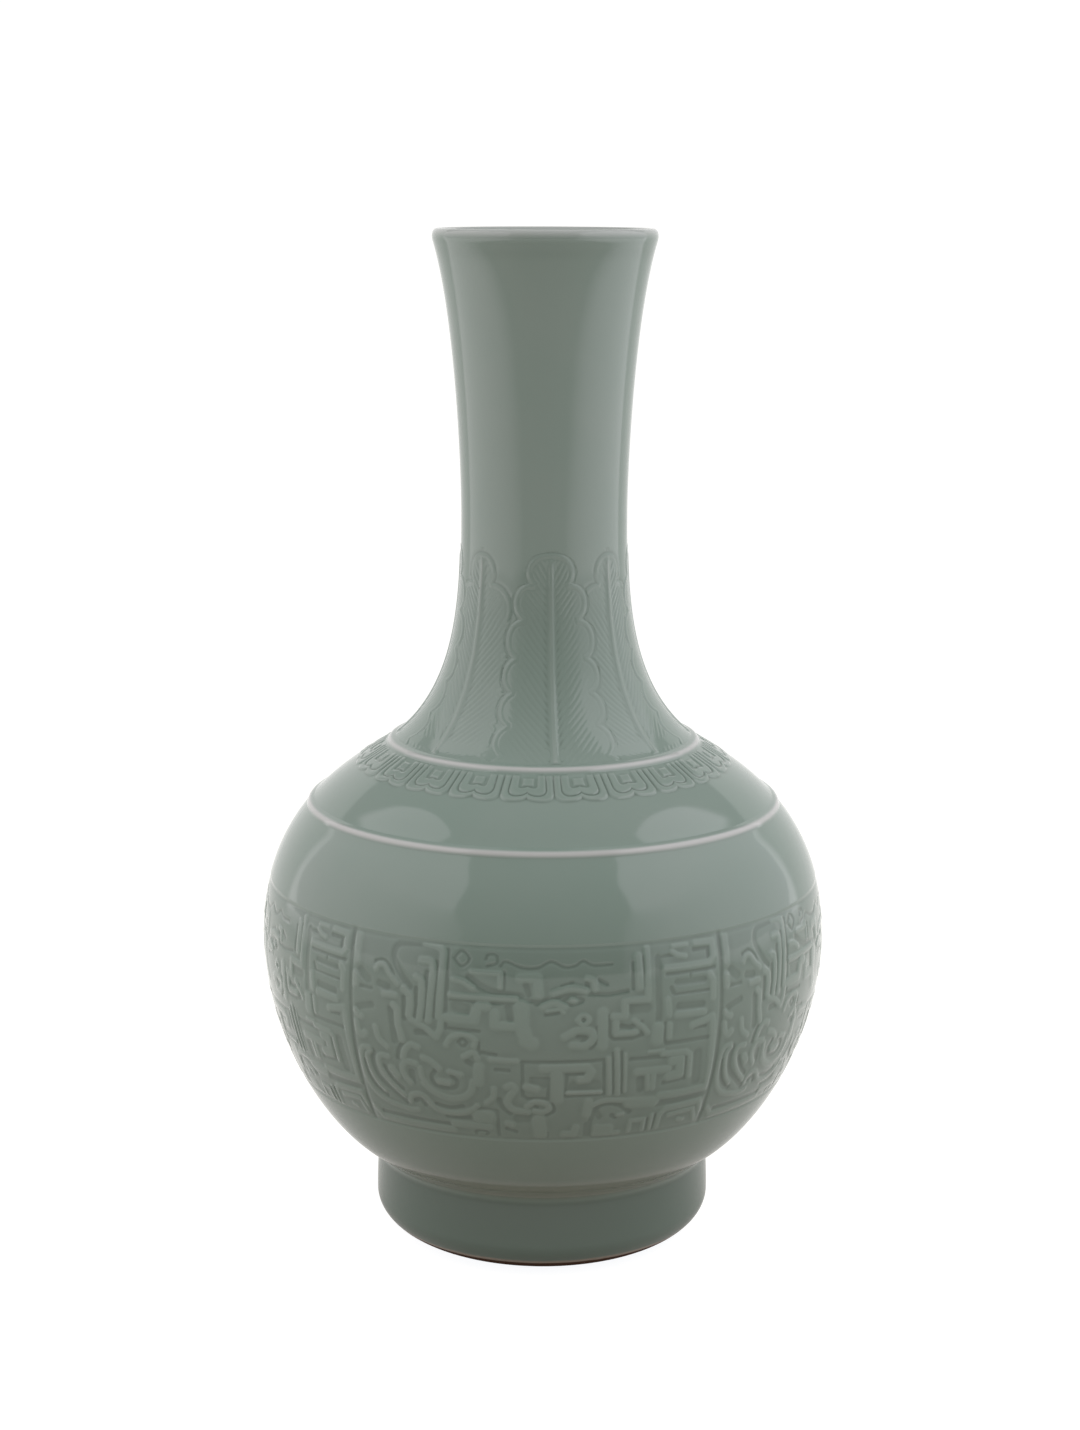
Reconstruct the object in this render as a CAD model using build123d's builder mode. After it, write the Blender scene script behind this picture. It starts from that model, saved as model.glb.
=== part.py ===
"""Long-necked celadon bottle vase with relief, in the pieces that the potter joins while they are wet.

Millimetres, +Z up, origin at the centre of the rim that the vase stands on; the front faces -Y.
"""
import os
from math import asin, copysign, cos, degrees, radians, sin

from build123d import *

os.makedirs("parts", exist_ok=True)

# Outside line: radius and height of each station, from the standing rim up to the mouth
REST_RADIUS = 55.9
FOOT_RADIUS = 84.1
FOOT_SWELL_HEIGHT = 18.5
CREASE_RADIUS = 83.0
FOOT_HEIGHT = 44.5
BELLY_RADIUS = 139.7
BELLY_HEIGHT = 154.4
COLLAR_RADIUS = 74.8
COLLAR_HEIGHT = 252.6
WAIST_RADIUS = 40.5
WAIST_HEIGHT = 364.4
MOUTH_RADIUS = 54.3
RIM_HEIGHT = 500.0

# Outside line: slope at the stations where it is not upright (degrees), and how far each slope holds
UNDERSIDE_SLOPE = 15.5
SHOULDER_SLOPE = 36.6
FLARE_SLOPE = 17.6
UNDERSIDE_PULL = 23.2
BELLY_PULL_DOWN = 54.0
BELLY_PULL_UP = 67.6
SHOULDER_PULL = 18.8
COLLAR_PULL = 41.0
WAIST_PULL_DOWN = 41.6
WAIST_PULL_UP = 25.0
FLARE_PULL = 35.3

# Clay thicknesses
WALL = 6.5
FLOOR = 7.0
FLOOR_FLAT_RADIUS = 45.0
FLOOR_EDGE_PULL = 6.0
FOOT_WALL = 11.0
REST_WIDTH = 6.5

# Film of slip that each applied piece is bedded on
SLIP_BED = 0.15

# Two cordons: a round of clay, part sunk below the surface that it lies on
CORDON_RADIUS = 2.3
CORDON_SINK = 0.6
SHOULDER_CORDON_DROP = 30.2

# Row of lappets under the neck cordon
LAPPET_COUNT = 22
LAPPET_TURN = 11.4
LAPPET_THICK = 1.3
LAPPET_HEM_RADIUS = 79.5
LAPPET_REACH = 93.8
LAPPET_GAP = 2.0
LAPPET_CORNER = 3.6
LAPPET_NICK = 1.5

# Plantain leaves round the foot of the neck; every other leaf lies behind its neighbours
LEAF_PAIRS = 4
LEAF_TURN = 4.5
LEAF_FIRST_STEP = 43.5
LEAF_STEP = 44.25
LEAF_LENGTH = 94.4
LEAF_LOBES = 6
LEAF_TIP_ANGLE = 15.5
LEAF_EDGE_ANGLE = 24.0
LOBE_SWELL_ANGLE = 2.6
LEAF_THICK = 0.9
LEAF_GAP = 0.6
MIDRIB_RISE = 0.6
MIDRIB_ROOT_WIDTH = 3.2
MIDRIB_TIP_WIDTH = 1.6
MIDRIB_TIP_DROP = 3.0

# Band of relief panels, let into the wall so that their faces are flush with it
PANEL_COUNT = 5
PANEL_THICK = 1.6
BAND_BOTTOM = 86.5
BAND_TOP = 185.5
BORDER_LINE = 1.2
DIVIDER_LINE = 2.4
FRONT_PANEL_LEFT = -39.6
FRONT_PANEL_ANGLE = 75.8

# Pattern cut in each panel: squared hooks, a comb, an eye and plumes, placed in shares of the panel's half width
# and of the band's height
GROOVE_WIDTH = 1.8
GROOVE_DEPTH = 0.8
HOOK_STEP = 4.6
FRET_HOOKS = [  # start across and up, far corner across and up
    (-0.06, 0.25, 0.08, 0.45), (0.36, 0.45, 0.15, 0.25), (0.66, 0.45, 0.82, 0.27), (0.92, 0.60, 0.60, 0.20),
    (0.62, 0.84, 0.92, 0.96), (0.66, 0.04, 0.93, 0.15), (-0.40, 0.60, -0.10, 0.74), (0.48, 0.96, 0.26, 0.54),
    (-0.02, 0.90, 0.18, 0.68), (0.46, 0.04, 0.26, 0.20), (-0.80, 0.04, -0.46, 0.11),
]
COMB_TINES = 5
COMB_RIGHT = -0.47
COMB_BOTTOM = 0.64
COMB_TOP = 0.96
COMB_PITCH = 0.063
COMB_DROP = 0.068
PLUME_CENTRE = (-0.58, 0.40)
PLUME_RADII = (12.0, 18.5, 25.0)
PLUME_ARC = (175, 105)
EYE_CENTRE = (-0.50, 0.34)
EYE_RADIUS = 4.6


def bowl_line(out):
    """Control points of the outside from the crease to the belly, moved out by the given amount."""
    along = Vector(cos(radians(UNDERSIDE_SLOPE)), sin(radians(UNDERSIDE_SLOPE)))
    away = Vector(sin(radians(UNDERSIDE_SLOPE)), -cos(radians(UNDERSIDE_SLOPE)))
    start = Vector(CREASE_RADIUS, FOOT_HEIGHT) + away * out
    end = Vector(BELLY_RADIUS + out, BELLY_HEIGHT)
    return [start, start + along * UNDERSIDE_PULL, end - Vector(0, BELLY_PULL_DOWN), end]


def collar_point(out):
    """Where body and neck meet, moved out square to the surface."""
    away = Vector(sin(radians(SHOULDER_SLOPE)), cos(radians(SHOULDER_SLOPE)))
    return Vector(COLLAR_RADIUS, COLLAR_HEIGHT) + away * out


def shoulder_line(out):
    """Control points of the outside from the belly to the collar, moved out by the given amount."""
    along = Vector(-cos(radians(SHOULDER_SLOPE)), sin(radians(SHOULDER_SLOPE)))
    start = Vector(BELLY_RADIUS + out, BELLY_HEIGHT)
    end = collar_point(out)
    return [start, start + Vector(0, BELLY_PULL_UP), end - along * SHOULDER_PULL, end]


def neck_line(out):
    """Control points of the outside from the collar to the waist, moved out by the given amount."""
    along = Vector(-cos(radians(SHOULDER_SLOPE)), sin(radians(SHOULDER_SLOPE)))
    start = collar_point(out)
    end = Vector(WAIST_RADIUS + out, WAIST_HEIGHT)
    return [start, start + along * COLLAR_PULL, end - Vector(0, WAIST_PULL_DOWN), end]


def flare_line(out):
    """Control points of the outside from the waist to the lip, moved out by the given amount."""
    along = Vector(sin(radians(FLARE_SLOPE)), cos(radians(FLARE_SLOPE)))
    away = Vector(cos(radians(FLARE_SLOPE)), -sin(radians(FLARE_SLOPE)))
    lip_height = RIM_HEIGHT - (1 + sin(radians(FLARE_SLOPE))) * WALL / 2
    start = Vector(WAIST_RADIUS + out, WAIST_HEIGHT)
    end = Vector(MOUTH_RADIUS, lip_height) + away * out
    return [start, start + Vector(0, WAIST_PULL_UP), end - along * FLARE_PULL, end]


def skin(lower, upper, inner, outer):
    """Section of a layer along two neighbouring stretches of the outside, between two distances from it."""
    with BuildSketch(Plane.XZ, mode=Mode.PRIVATE) as layer:
        with BuildLine():
            for out in (inner, outer):
                Bezier(*lower(out))
                Bezier(*upper(out))
            Line(lower(inner)[0], lower(outer)[0])
            Line(upper(inner)[3], upper(outer)[3])
        make_face()
    return layer.sketch


def height_on(line, height):
    """Share of the way along a rising curve at which it passes the given height."""
    low, high = 0.0, 1.0
    for _ in range(40):
        middle = (low + high) / 2
        if (line @ middle).Y < height:
            low = middle
        else:
            high = middle
    return middle


def outward(azimuth):
    """Upright plane through the axis that faces outward, turned from the front towards +X."""
    turn = radians(azimuth)
    return Plane((0, 0, 0), x_dir=(cos(turn), sin(turn), 0), z_dir=(sin(turn), -cos(turn), 0))


# Foot ring: thrown ring, rounded in to a narrow rim below and hollowed to an even wall
with BuildPart() as foot_ring:
    with BuildSketch(Plane.XZ):
        with BuildLine():
            EllipticalCenterArc(
                (REST_RADIUS, FOOT_SWELL_HEIGHT), FOOT_RADIUS - REST_RADIUS, FOOT_SWELL_HEIGHT, 270, arc_size=90
            )
            Bezier(
                (FOOT_RADIUS, FOOT_SWELL_HEIGHT),
                (FOOT_RADIUS, (FOOT_SWELL_HEIGHT + FOOT_HEIGHT) / 2),
                (CREASE_RADIUS, FOOT_HEIGHT),
            )
            Polyline(
                (CREASE_RADIUS, FOOT_HEIGHT),
                (FOOT_RADIUS - FOOT_WALL, FOOT_HEIGHT),
                (FOOT_RADIUS - FOOT_WALL, FOOT_SWELL_HEIGHT),
            )
            EllipticalCenterArc(
                (REST_RADIUS - REST_WIDTH, FOOT_SWELL_HEIGHT),
                FOOT_RADIUS - FOOT_WALL - REST_RADIUS + REST_WIDTH,
                FOOT_SWELL_HEIGHT,
                270,
                arc_size=90,
            )
            Line((REST_RADIUS - REST_WIDTH, 0), (REST_RADIUS, 0))
        make_face()
    revolve(axis=Axis.Z)
foot_ring.part.label = "foot_ring"
export_step(foot_ring.part, "parts/foot_ring.step")


def band_section(inner, outer, margin):
    """Section of the relief band between two distances from the outside line, short by a margin at both ends."""
    with BuildSketch(Plane.XZ, mode=Mode.PRIVATE) as section:
        add(skin(bowl_line, shoulder_line, inner, outer))
        with Locations((BELLY_RADIUS, (BAND_BOTTOM + BAND_TOP) / 2)):
            Rectangle(BELLY_RADIUS, BAND_TOP - BAND_BOTTOM - 2 * margin, mode=Mode.INTERSECT)
    return section.sketch


# Lower body: thrown bowl that carries the floor and sits flat on the foot ring
with BuildPart() as lower_body:
    with BuildSketch(Plane.XZ):
        with BuildLine():
            Bezier(*bowl_line(0))
            Line(bowl_line(0)[3], bowl_line(-WALL)[3])
            Bezier(*bowl_line(-WALL))
            floor_edge = bowl_line(-WALL)[0]
            floor_slope = Vector(cos(radians(UNDERSIDE_SLOPE)), sin(radians(UNDERSIDE_SLOPE)))
            Bezier(
                (0, FOOT_HEIGHT + FLOOR),
                (FLOOR_FLAT_RADIUS, FOOT_HEIGHT + FLOOR),
                floor_edge - floor_slope * FLOOR_EDGE_PULL,
                floor_edge,
            )
            Polyline((0, FOOT_HEIGHT + FLOOR), (0, FOOT_HEIGHT), (CREASE_RADIUS, FOOT_HEIGHT))
        make_face()
    revolve(axis=Axis.Z)
    revolve(band_section(-PANEL_THICK, PANEL_THICK, 0), axis=Axis.Z, mode=Mode.SUBTRACT)
lower_body.part.label = "lower_body"
export_step(lower_body.part, "parts/lower_body.step")

# Upper body: thrown dome, butted on the bowl at the belly and cut square to its wall at the collar
with BuildPart() as upper_body:
    with BuildSketch(Plane.XZ):
        with BuildLine():
            Bezier(*shoulder_line(0))
            Line(shoulder_line(0)[3], shoulder_line(-WALL)[3])
            Bezier(*shoulder_line(-WALL))
            Line(shoulder_line(-WALL)[0], shoulder_line(0)[0])
        make_face()
    revolve(axis=Axis.Z)
    revolve(band_section(-PANEL_THICK, PANEL_THICK, 0), axis=Axis.Z, mode=Mode.SUBTRACT)
upper_body.part.label = "upper_body"
export_step(upper_body.part, "parts/upper_body.step")

# Neck: thrown tube that spreads to the collar below and flares to a half-round lip above
with BuildPart() as neck:
    with BuildSketch(Plane.XZ):
        with BuildLine():
            Bezier(*neck_line(0))
            Bezier(*flare_line(0))
            lip_outer = flare_line(0)[3]
            lip_inner = flare_line(-WALL)[3]
            lip_slope = Vector(sin(radians(FLARE_SLOPE)), cos(radians(FLARE_SLOPE)))
            ThreePointArc(lip_outer, (lip_outer + lip_inner) / 2 + lip_slope * WALL / 2, lip_inner)
            Bezier(*flare_line(-WALL))
            Bezier(*neck_line(-WALL))
            Line(neck_line(-WALL)[0], neck_line(0)[0])
        make_face()
    revolve(axis=Axis.Z)
neck.part.label = "neck"
export_step(neck.part, "parts/neck.step")

# Neck cordon: rolled round of clay pressed over the seam between neck and body
with BuildPart() as neck_rib:
    with BuildSketch(Plane.XZ):
        with Locations(collar_point(-CORDON_SINK)):
            Circle(CORDON_RADIUS)
        add(skin(shoulder_line, neck_line, -WALL, SLIP_BED), mode=Mode.SUBTRACT)
    revolve(axis=Axis.Z)
neck_rib.part.label = "neck_rib"
export_step(neck_rib.part, "parts/neck_rib.step")

# Shoulder cordon: the same round of clay lower on the shoulder
shoulder_edge = Bezier(*shoulder_line(-CORDON_SINK), mode=Mode.PRIVATE)
with BuildPart() as shoulder_rib:
    with BuildSketch(Plane.XZ):
        with Locations(shoulder_edge @ height_on(shoulder_edge, COLLAR_HEIGHT - SHOULDER_CORDON_DROP)):
            Circle(CORDON_RADIUS)
        add(skin(bowl_line, shoulder_line, -WALL, SLIP_BED), mode=Mode.SUBTRACT)
    revolve(axis=Axis.Z)
shoulder_rib.part.label = "shoulder_rib"
export_step(shoulder_rib.part, "parts/shoulder_rib.step")

# Plan of one lappet, pointing along +X: straight sides, rounded corners and a nick in the lower edge
with BuildSketch() as lappet:
    with BuildLine():
        half_width = LAPPET_REACH * sin(radians(180 / LAPPET_COUNT)) - LAPPET_GAP / 2
        half_root = LAPPET_HEM_RADIUS * sin(radians(180 / LAPPET_COUNT)) - LAPPET_GAP / 2
        root = (LAPPET_HEM_RADIUS - LAPPET_GAP) * cos(radians(180 / LAPPET_COUNT))
        for side in (1, -1):
            Polyline((root, 0), (root, side * half_root), (LAPPET_REACH - LAPPET_CORNER, side * half_width))
            TangentArc(
                (LAPPET_REACH - LAPPET_CORNER, side * half_width),
                (LAPPET_REACH, side * (half_width - LAPPET_CORNER)),
                tangent=(1, 0),
            )
            Bezier(
                (LAPPET_REACH, side * (half_width - LAPPET_CORNER)),
                (LAPPET_REACH, side * LAPPET_NICK),
                (LAPPET_REACH - LAPPET_NICK, 0),
            )
    make_face()

# Lappet collar: pressed strip, its plain hem lying close under the neck cordon
cordon_centre = collar_point(-CORDON_SINK)
with BuildPart() as lappet_collar:
    add(skin(bowl_line, shoulder_line, SLIP_BED, LAPPET_THICK))
    revolve(axis=Axis.Z)
    with BuildSketch(Plane.XY.offset(BELLY_HEIGHT)):
        Circle(LAPPET_HEM_RADIUS)
        with PolarLocations(0, LAPPET_COUNT, start_angle=LAPPET_TURN - 90):
            add(lappet.sketch)
        Circle(cordon_centre.X + CORDON_RADIUS + SLIP_BED, mode=Mode.SUBTRACT)
    extrude(amount=COLLAR_HEIGHT - BELLY_HEIGHT, mode=Mode.INTERSECT)
lappet_collar.part.label = "lappet_collar"
export_step(lappet_collar.part, "parts/lappet_collar.step")

# Outside line of the neck, where the leaves take their widths from, and the line that they spring from
neck_edge = Bezier(*neck_line(0), mode=Mode.PRIVATE)
flare_edge = Bezier(*flare_line(0), mode=Mode.PRIVATE)
leaf_root = cordon_centre.Y + CORDON_RADIUS + SLIP_BED


def neck_radius(height):
    """Outside radius of the neck at the given height."""
    edge = neck_edge if height < WAIST_HEIGHT else flare_edge
    return (edge @ height_on(edge, height)).X


def leaf_outline(margin):
    """Draws the lobed leaf, widened by a margin, in the line that is open: x across, y up."""
    step = LEAF_LENGTH / LEAF_LOBES
    tip = leaf_root + LEAF_LENGTH
    angles = [0.0, LEAF_TIP_ANGLE] + [LEAF_EDGE_ANGLE] * (LEAF_LOBES - 1)
    for side in (1, -1):
        for lobe in range(LEAF_LOBES):
            ends = []
            for notch in (lobe, lobe + 1):
                height = tip - notch * step
                across = neck_radius(height) * sin(radians(angles[notch])) + (margin if notch else 0)
                ends.append(Vector(side * across, height + (0 if notch else margin)))
            height = tip - (lobe + 0.5) * step
            swell = neck_radius(height) * sin(radians(angles[lobe + 1] + LOBE_SWELL_ANGLE)) + margin
            ThreePointArc(ends[0], (side * swell, height), ends[1])
    foot = neck_radius(tip - LEAF_LOBES * step) * sin(radians(LEAF_EDGE_ANGLE)) + margin
    Line((-foot, leaf_root), (foot, leaf_root))


# Layers on the neck that the sheet of a leaf and its midrib are cut from
with BuildPart() as leaf_layer:
    add(skin(neck_line, flare_line, SLIP_BED, LEAF_THICK))
    revolve(axis=Axis.Z)
with BuildPart() as midrib_layer:
    add(skin(neck_line, flare_line, SLIP_BED, LEAF_THICK + MIDRIB_RISE))
    revolve(axis=Axis.Z)

# Plantain leaves: pressed sheets with lobed edges and a raised midrib, wrapped on the flare of the neck
leaf_turns = [LEAF_TURN] + [LEAF_TURN + LEAF_FIRST_STEP + LEAF_STEP * step for step in range(2 * LEAF_PAIRS - 1)]
for number, turn in enumerate(leaf_turns):
    with BuildPart() as midrib:
        add(midrib_layer.part)
        with BuildSketch(outward(turn)):
            with BuildLine():
                Polyline(
                    (-MIDRIB_ROOT_WIDTH / 2, leaf_root),
                    (MIDRIB_ROOT_WIDTH / 2, leaf_root),
                    (MIDRIB_TIP_WIDTH / 2, leaf_root + LEAF_LENGTH - MIDRIB_TIP_DROP),
                    (-MIDRIB_TIP_WIDTH / 2, leaf_root + LEAF_LENGTH - MIDRIB_TIP_DROP),
                    close=True,
                )
            make_face()
        extrude(amount=COLLAR_RADIUS, mode=Mode.INTERSECT)
    with BuildPart() as leaf:
        add(leaf_layer.part)
        with BuildSketch(outward(turn)):
            with BuildLine():
                leaf_outline(0)
            make_face()
        extrude(amount=COLLAR_RADIUS, mode=Mode.INTERSECT)
        if number % 2:
            for neighbour in (leaf_turns[number - 1], leaf_turns[(number + 1) % len(leaf_turns)]):
                with BuildSketch(outward(neighbour)):
                    with BuildLine():
                        leaf_outline(LEAF_GAP)
                    make_face()
                extrude(amount=COLLAR_RADIUS, mode=Mode.SUBTRACT)
        add(midrib.part)
    leaf.part.label = f"plantain_leaf_{number + 1}"
    export_step(leaf.part, f"parts/plantain_leaf_{number + 1}.step")

# Pattern of a panel, drawn flat: x across from its middle, y up from the level that the vase stands on
divider = degrees(2 * asin(DIVIDER_LINE / 2 / BELLY_RADIUS))
other_angle = (360 - FRONT_PANEL_ANGLE) / (PANEL_COUNT - 1)
panel_half = BELLY_RADIUS * sin(radians(other_angle / 2))


def on_panel(across, up):
    """Point of the pattern at a share of the panel's half width and of the band's height."""
    return Vector(panel_half * across, BAND_BOTTOM + (BAND_TOP - BAND_BOTTOM) * up)


strokes = []
for start_across, start_up, far_across, far_up in FRET_HOOKS:
    start, far = on_panel(start_across, start_up), on_panel(far_across, far_up)
    turn_in = Vector(copysign(HOOK_STEP, far.X - start.X), copysign(HOOK_STEP, far.Y - start.Y))
    corners = [start, Vector(far.X, start.Y), far, Vector(start.X, far.Y), Vector(start.X, start.Y + turn_in.Y)]
    corners.append(Vector(far.X - turn_in.X, start.Y + turn_in.Y))
    strokes += zip(corners, corners[1:])
for tine in range(COMB_TINES):
    across = COMB_RIGHT - tine * COMB_PITCH
    strokes.append((on_panel(across, COMB_BOTTOM), on_panel(across, COMB_TOP - tine * COMB_DROP)))
with BuildSketch() as pattern:
    for start, end in strokes:
        with Locations((start + end) / 2):
            upright = abs(end.Y - start.Y) > abs(end.X - start.X)
            SlotCenterToCenter((end - start).length, GROOVE_WIDTH, rotation=90 if upright else 0)
    for radius in PLUME_RADII:
        SlotArc(CenterArc(on_panel(*PLUME_CENTRE), radius, *PLUME_ARC, mode=Mode.PRIVATE), GROOVE_WIDTH)
    with Locations(on_panel(*EYE_CENTRE)):
        Circle(EYE_RADIUS + GROOVE_WIDTH / 2)
        Circle(EYE_RADIUS - GROOVE_WIDTH / 2, mode=Mode.SUBTRACT)

# Band panels: pressed relief pads let into the wall, with a sunk line left round each of them
for number in range(PANEL_COUNT):
    angle = other_angle if number else FRONT_PANEL_ANGLE
    left = FRONT_PANEL_LEFT + (FRONT_PANEL_ANGLE + other_angle * (number - 1) if number else 0)
    with BuildPart() as panel:
        add(band_section(SLIP_BED - PANEL_THICK, 0, BORDER_LINE).rotate(Axis.Z, left + divider / 2 - 90))
        revolve(axis=Axis.Z, revolution_arc=angle - divider)
        with BuildPart(mode=Mode.SUBTRACT):
            add(band_section(-GROOVE_DEPTH, GROOVE_DEPTH, 0).rotate(Axis.Z, left - 90))
            revolve(axis=Axis.Z, revolution_arc=angle)
            with BuildSketch(outward(left + angle / 2)):
                add(pattern.sketch)
            extrude(amount=2 * BELLY_RADIUS, mode=Mode.INTERSECT)
    panel.part.label = f"band_panel_{number + 1}"
    export_step(panel.part, f"parts/band_panel_{number + 1}.step")
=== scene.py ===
"""Looks of a long-necked celadon bottle vase with leaf, lappet and fret relief.

Sizes of the vase are in millimetres and become metres where a mesh is filled. What a material, the
backdrop, the lamps and the camera use is in metres. Heights stand on the surface under the foot, and
azimuths run in degrees from the front (-Y) towards +X.
"""

import bpy
import numpy as np
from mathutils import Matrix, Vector


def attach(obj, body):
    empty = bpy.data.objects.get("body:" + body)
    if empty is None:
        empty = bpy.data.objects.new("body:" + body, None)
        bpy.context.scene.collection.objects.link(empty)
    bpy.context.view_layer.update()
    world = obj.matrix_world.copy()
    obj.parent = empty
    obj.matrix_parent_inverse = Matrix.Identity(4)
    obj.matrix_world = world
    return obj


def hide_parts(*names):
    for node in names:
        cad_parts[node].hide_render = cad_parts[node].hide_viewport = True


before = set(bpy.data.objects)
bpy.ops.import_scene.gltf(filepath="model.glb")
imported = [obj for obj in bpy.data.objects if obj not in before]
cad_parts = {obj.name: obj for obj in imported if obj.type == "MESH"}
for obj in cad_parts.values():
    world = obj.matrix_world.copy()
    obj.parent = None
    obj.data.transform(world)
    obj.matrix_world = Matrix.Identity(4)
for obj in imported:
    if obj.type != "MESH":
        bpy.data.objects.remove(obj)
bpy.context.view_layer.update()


# Foot ring: a thrown porcelain ring, turned in below to the narrow rim that the vase stands on. It is luted
# under the bowl and glazed with it; the lowest edge is wiped bare before the firing and burns brown.
REST_RADIUS, REST_WIDTH = 55.9, 6.5
FOOT_RADIUS, FOOT_SWELL_HEIGHT, FOOT_WALL = 84.1, 18.5, 11.0
CREASE_RADIUS, FOOT_HEIGHT, FILL_DOWN, FILL_UP = 83.0, 44.5, 6.0, 14.0
BELLY_RADIUS, BELLY_HEIGHT = 139.7, 154.4
COLLAR_RADIUS, COLLAR_HEIGHT = 74.8, 252.6
WAIST_RADIUS, WAIST_HEIGHT = 40.5, 364.4
MOUTH_RADIUS, RIM_HEIGHT = 54.3, 500.0
UNDERSIDE_SLOPE, SHOULDER_SLOPE, FLARE_SLOPE = np.radians([15.5, 36.6, 17.6])
UNDERSIDE_PULL, BELLY_PULL_DOWN, BELLY_PULL_UP, SHOULDER_PULL = 23.2, 54.0, 67.6, 18.8
COLLAR_PULL, WAIST_PULL_DOWN, WAIST_PULL_UP, FLARE_PULL = 41.0, 41.6, 25.0, 35.3
SHOULDER_RIB_HEIGHT, RIB_SWELL, RIB_SWELL_REACH = 222.4, 0.4, 3.6
WALL = 6.5
MILLIMETRE = 0.001
TURN_STEPS, LINE_STEPS = 320, 600
SIDE_STEPS, FILL_STEPS, SWELL_STEPS, BORE_STEPS, UNDERCUT_STEPS = 16, 24, 40, 8, 24
SMOOTH_ANGLE = np.radians(38)
GLAZE = (0.216, 0.288, 0.244, 1)
CLOUDED_GLAZE = (0.230, 0.296, 0.254, 1)
# Thin glaze is pale over the ribs and the lip, and the same pale colour serves as painted light near the
# foot's crease and bottom edge; deep glaze is dark in hollows, and the same dark colour serves as painted
# shade over the foot.
THIN_GLAZE_AND_PAINTED_LIGHT = (0.52, 0.53, 0.51, 1)
DEEP_GLAZE_AND_PAINTED_SHADE = (0.124, 0.170, 0.138, 1)
IRON_SPECK = (0.06, 0.055, 0.04, 1)
BARE_CLAY, BURNT_CLAY = (0.10, 0.050, 0.036, 1), (0.15, 0.082, 0.058, 1)
GLAZE_FRINGE = (0.44, 0.33, 0.25, 1)
CLOUD_SCALE, RIPPLE_SCALE, SPECK_SCALE, GRIT_SCALE = 14.0, 60.0, 38.0, 900.0
CLOUD_START, CLOUD_END = 0.35, 0.7
RIPPLE_STRENGTH, RIPPLE_HEIGHT = 0.08, 0.0006
SPECK_CORE, SPECK_RIM, SPECK_STRENGTH, PLAIN_SHARE, SPECKED_SHARE = 0.012, 0.030, 0.7, 0.80, 0.84
GLOSS, GLOSS_SPREAD, GLAZE_IOR = 0.05, 0.05, 1.5
CLAY_ROUGHNESS, CLAY_SPECULAR = 0.95, 0.1
BARE_HEIGHT, BARE_WAVER, BARE_BLUR, FRINGE_FOOT, FRINGE_TOP = 0.0085, 0.0010, 0.0004, 0.0008, 0.0026
# Painted shade over the whole foot, and painted light towards its bottom edge:
FOOT_PAINTED_SHADE, FOOT_EDGE_PAINTED_LIGHT, FOOT_EDGE_FADE = 0.98, 0.85, 13.0
# Painted light round the crease of foot and bowl:
CREASE_PAINTED_LIGHT, CREASE_FADE = -0.62, 6.0


class Wire:
    """A socket in a node tree. Arithmetic on wires and numbers adds Math nodes; node() adds any other."""

    def __init__(self, tree, socket=None):
        self.tree, self.socket = tree, socket

    def node(self, kind, settings, sockets, output=0):
        """New node of a kind: settings first, then a value or a link for each socket; gives one output."""
        made = self.tree.nodes.new("ShaderNode" + kind)
        for name, value in settings.items():
            setattr(made, name, value)
        for name, value in sockets.items():
            if isinstance(value, Wire):
                self.tree.links.new(value.socket, made.inputs[name])
            else:
                made.inputs[name].default_value = value
        return Wire(self.tree, made.outputs[output] if len(made.outputs) else None)

    def math(self, operation, *values):
        """Math node of an operation on wires and numbers."""
        return self.node("Math", {"operation": operation}, dict(enumerate(values)))

    def __add__(self, other):
        return self.math("ADD", self, other)

    def __sub__(self, other):
        return self.math("SUBTRACT", self, other)

    def __rsub__(self, other):
        return self.math("SUBTRACT", other, self)

    def __mul__(self, other):
        return self.math("MULTIPLY", self, other)

    __radd__, __rmul__ = __add__, __mul__

    def step(self, low, high):
        """0 below low and 1 above high, with a smooth rise between them."""
        limits = {"Value": self, "From Min": low, "From Max": high}
        return self.node("MapRange", {"interpolation_type": "SMOOTHSTEP"}, limits)

    def mix(self, below, above):
        """Colour that goes from one to the other as this wire goes from 0 to 1."""
        return self.node("Mix", {"data_type": "RGBA"}, {0: self, 6: below, 7: above}, 2)


def blank(owner):
    """Wire on the emptied node tree of a material, the world or a lamp."""
    owner.use_nodes = True
    owner.node_tree.nodes.clear()
    return Wire(owner.node_tree)


def placed(name, data):
    """New object of a mesh, a lamp or the camera, linked to the scene."""
    made = bpy.data.objects.new(name, data)
    bpy.context.scene.collection.objects.link(made)
    return made


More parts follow.
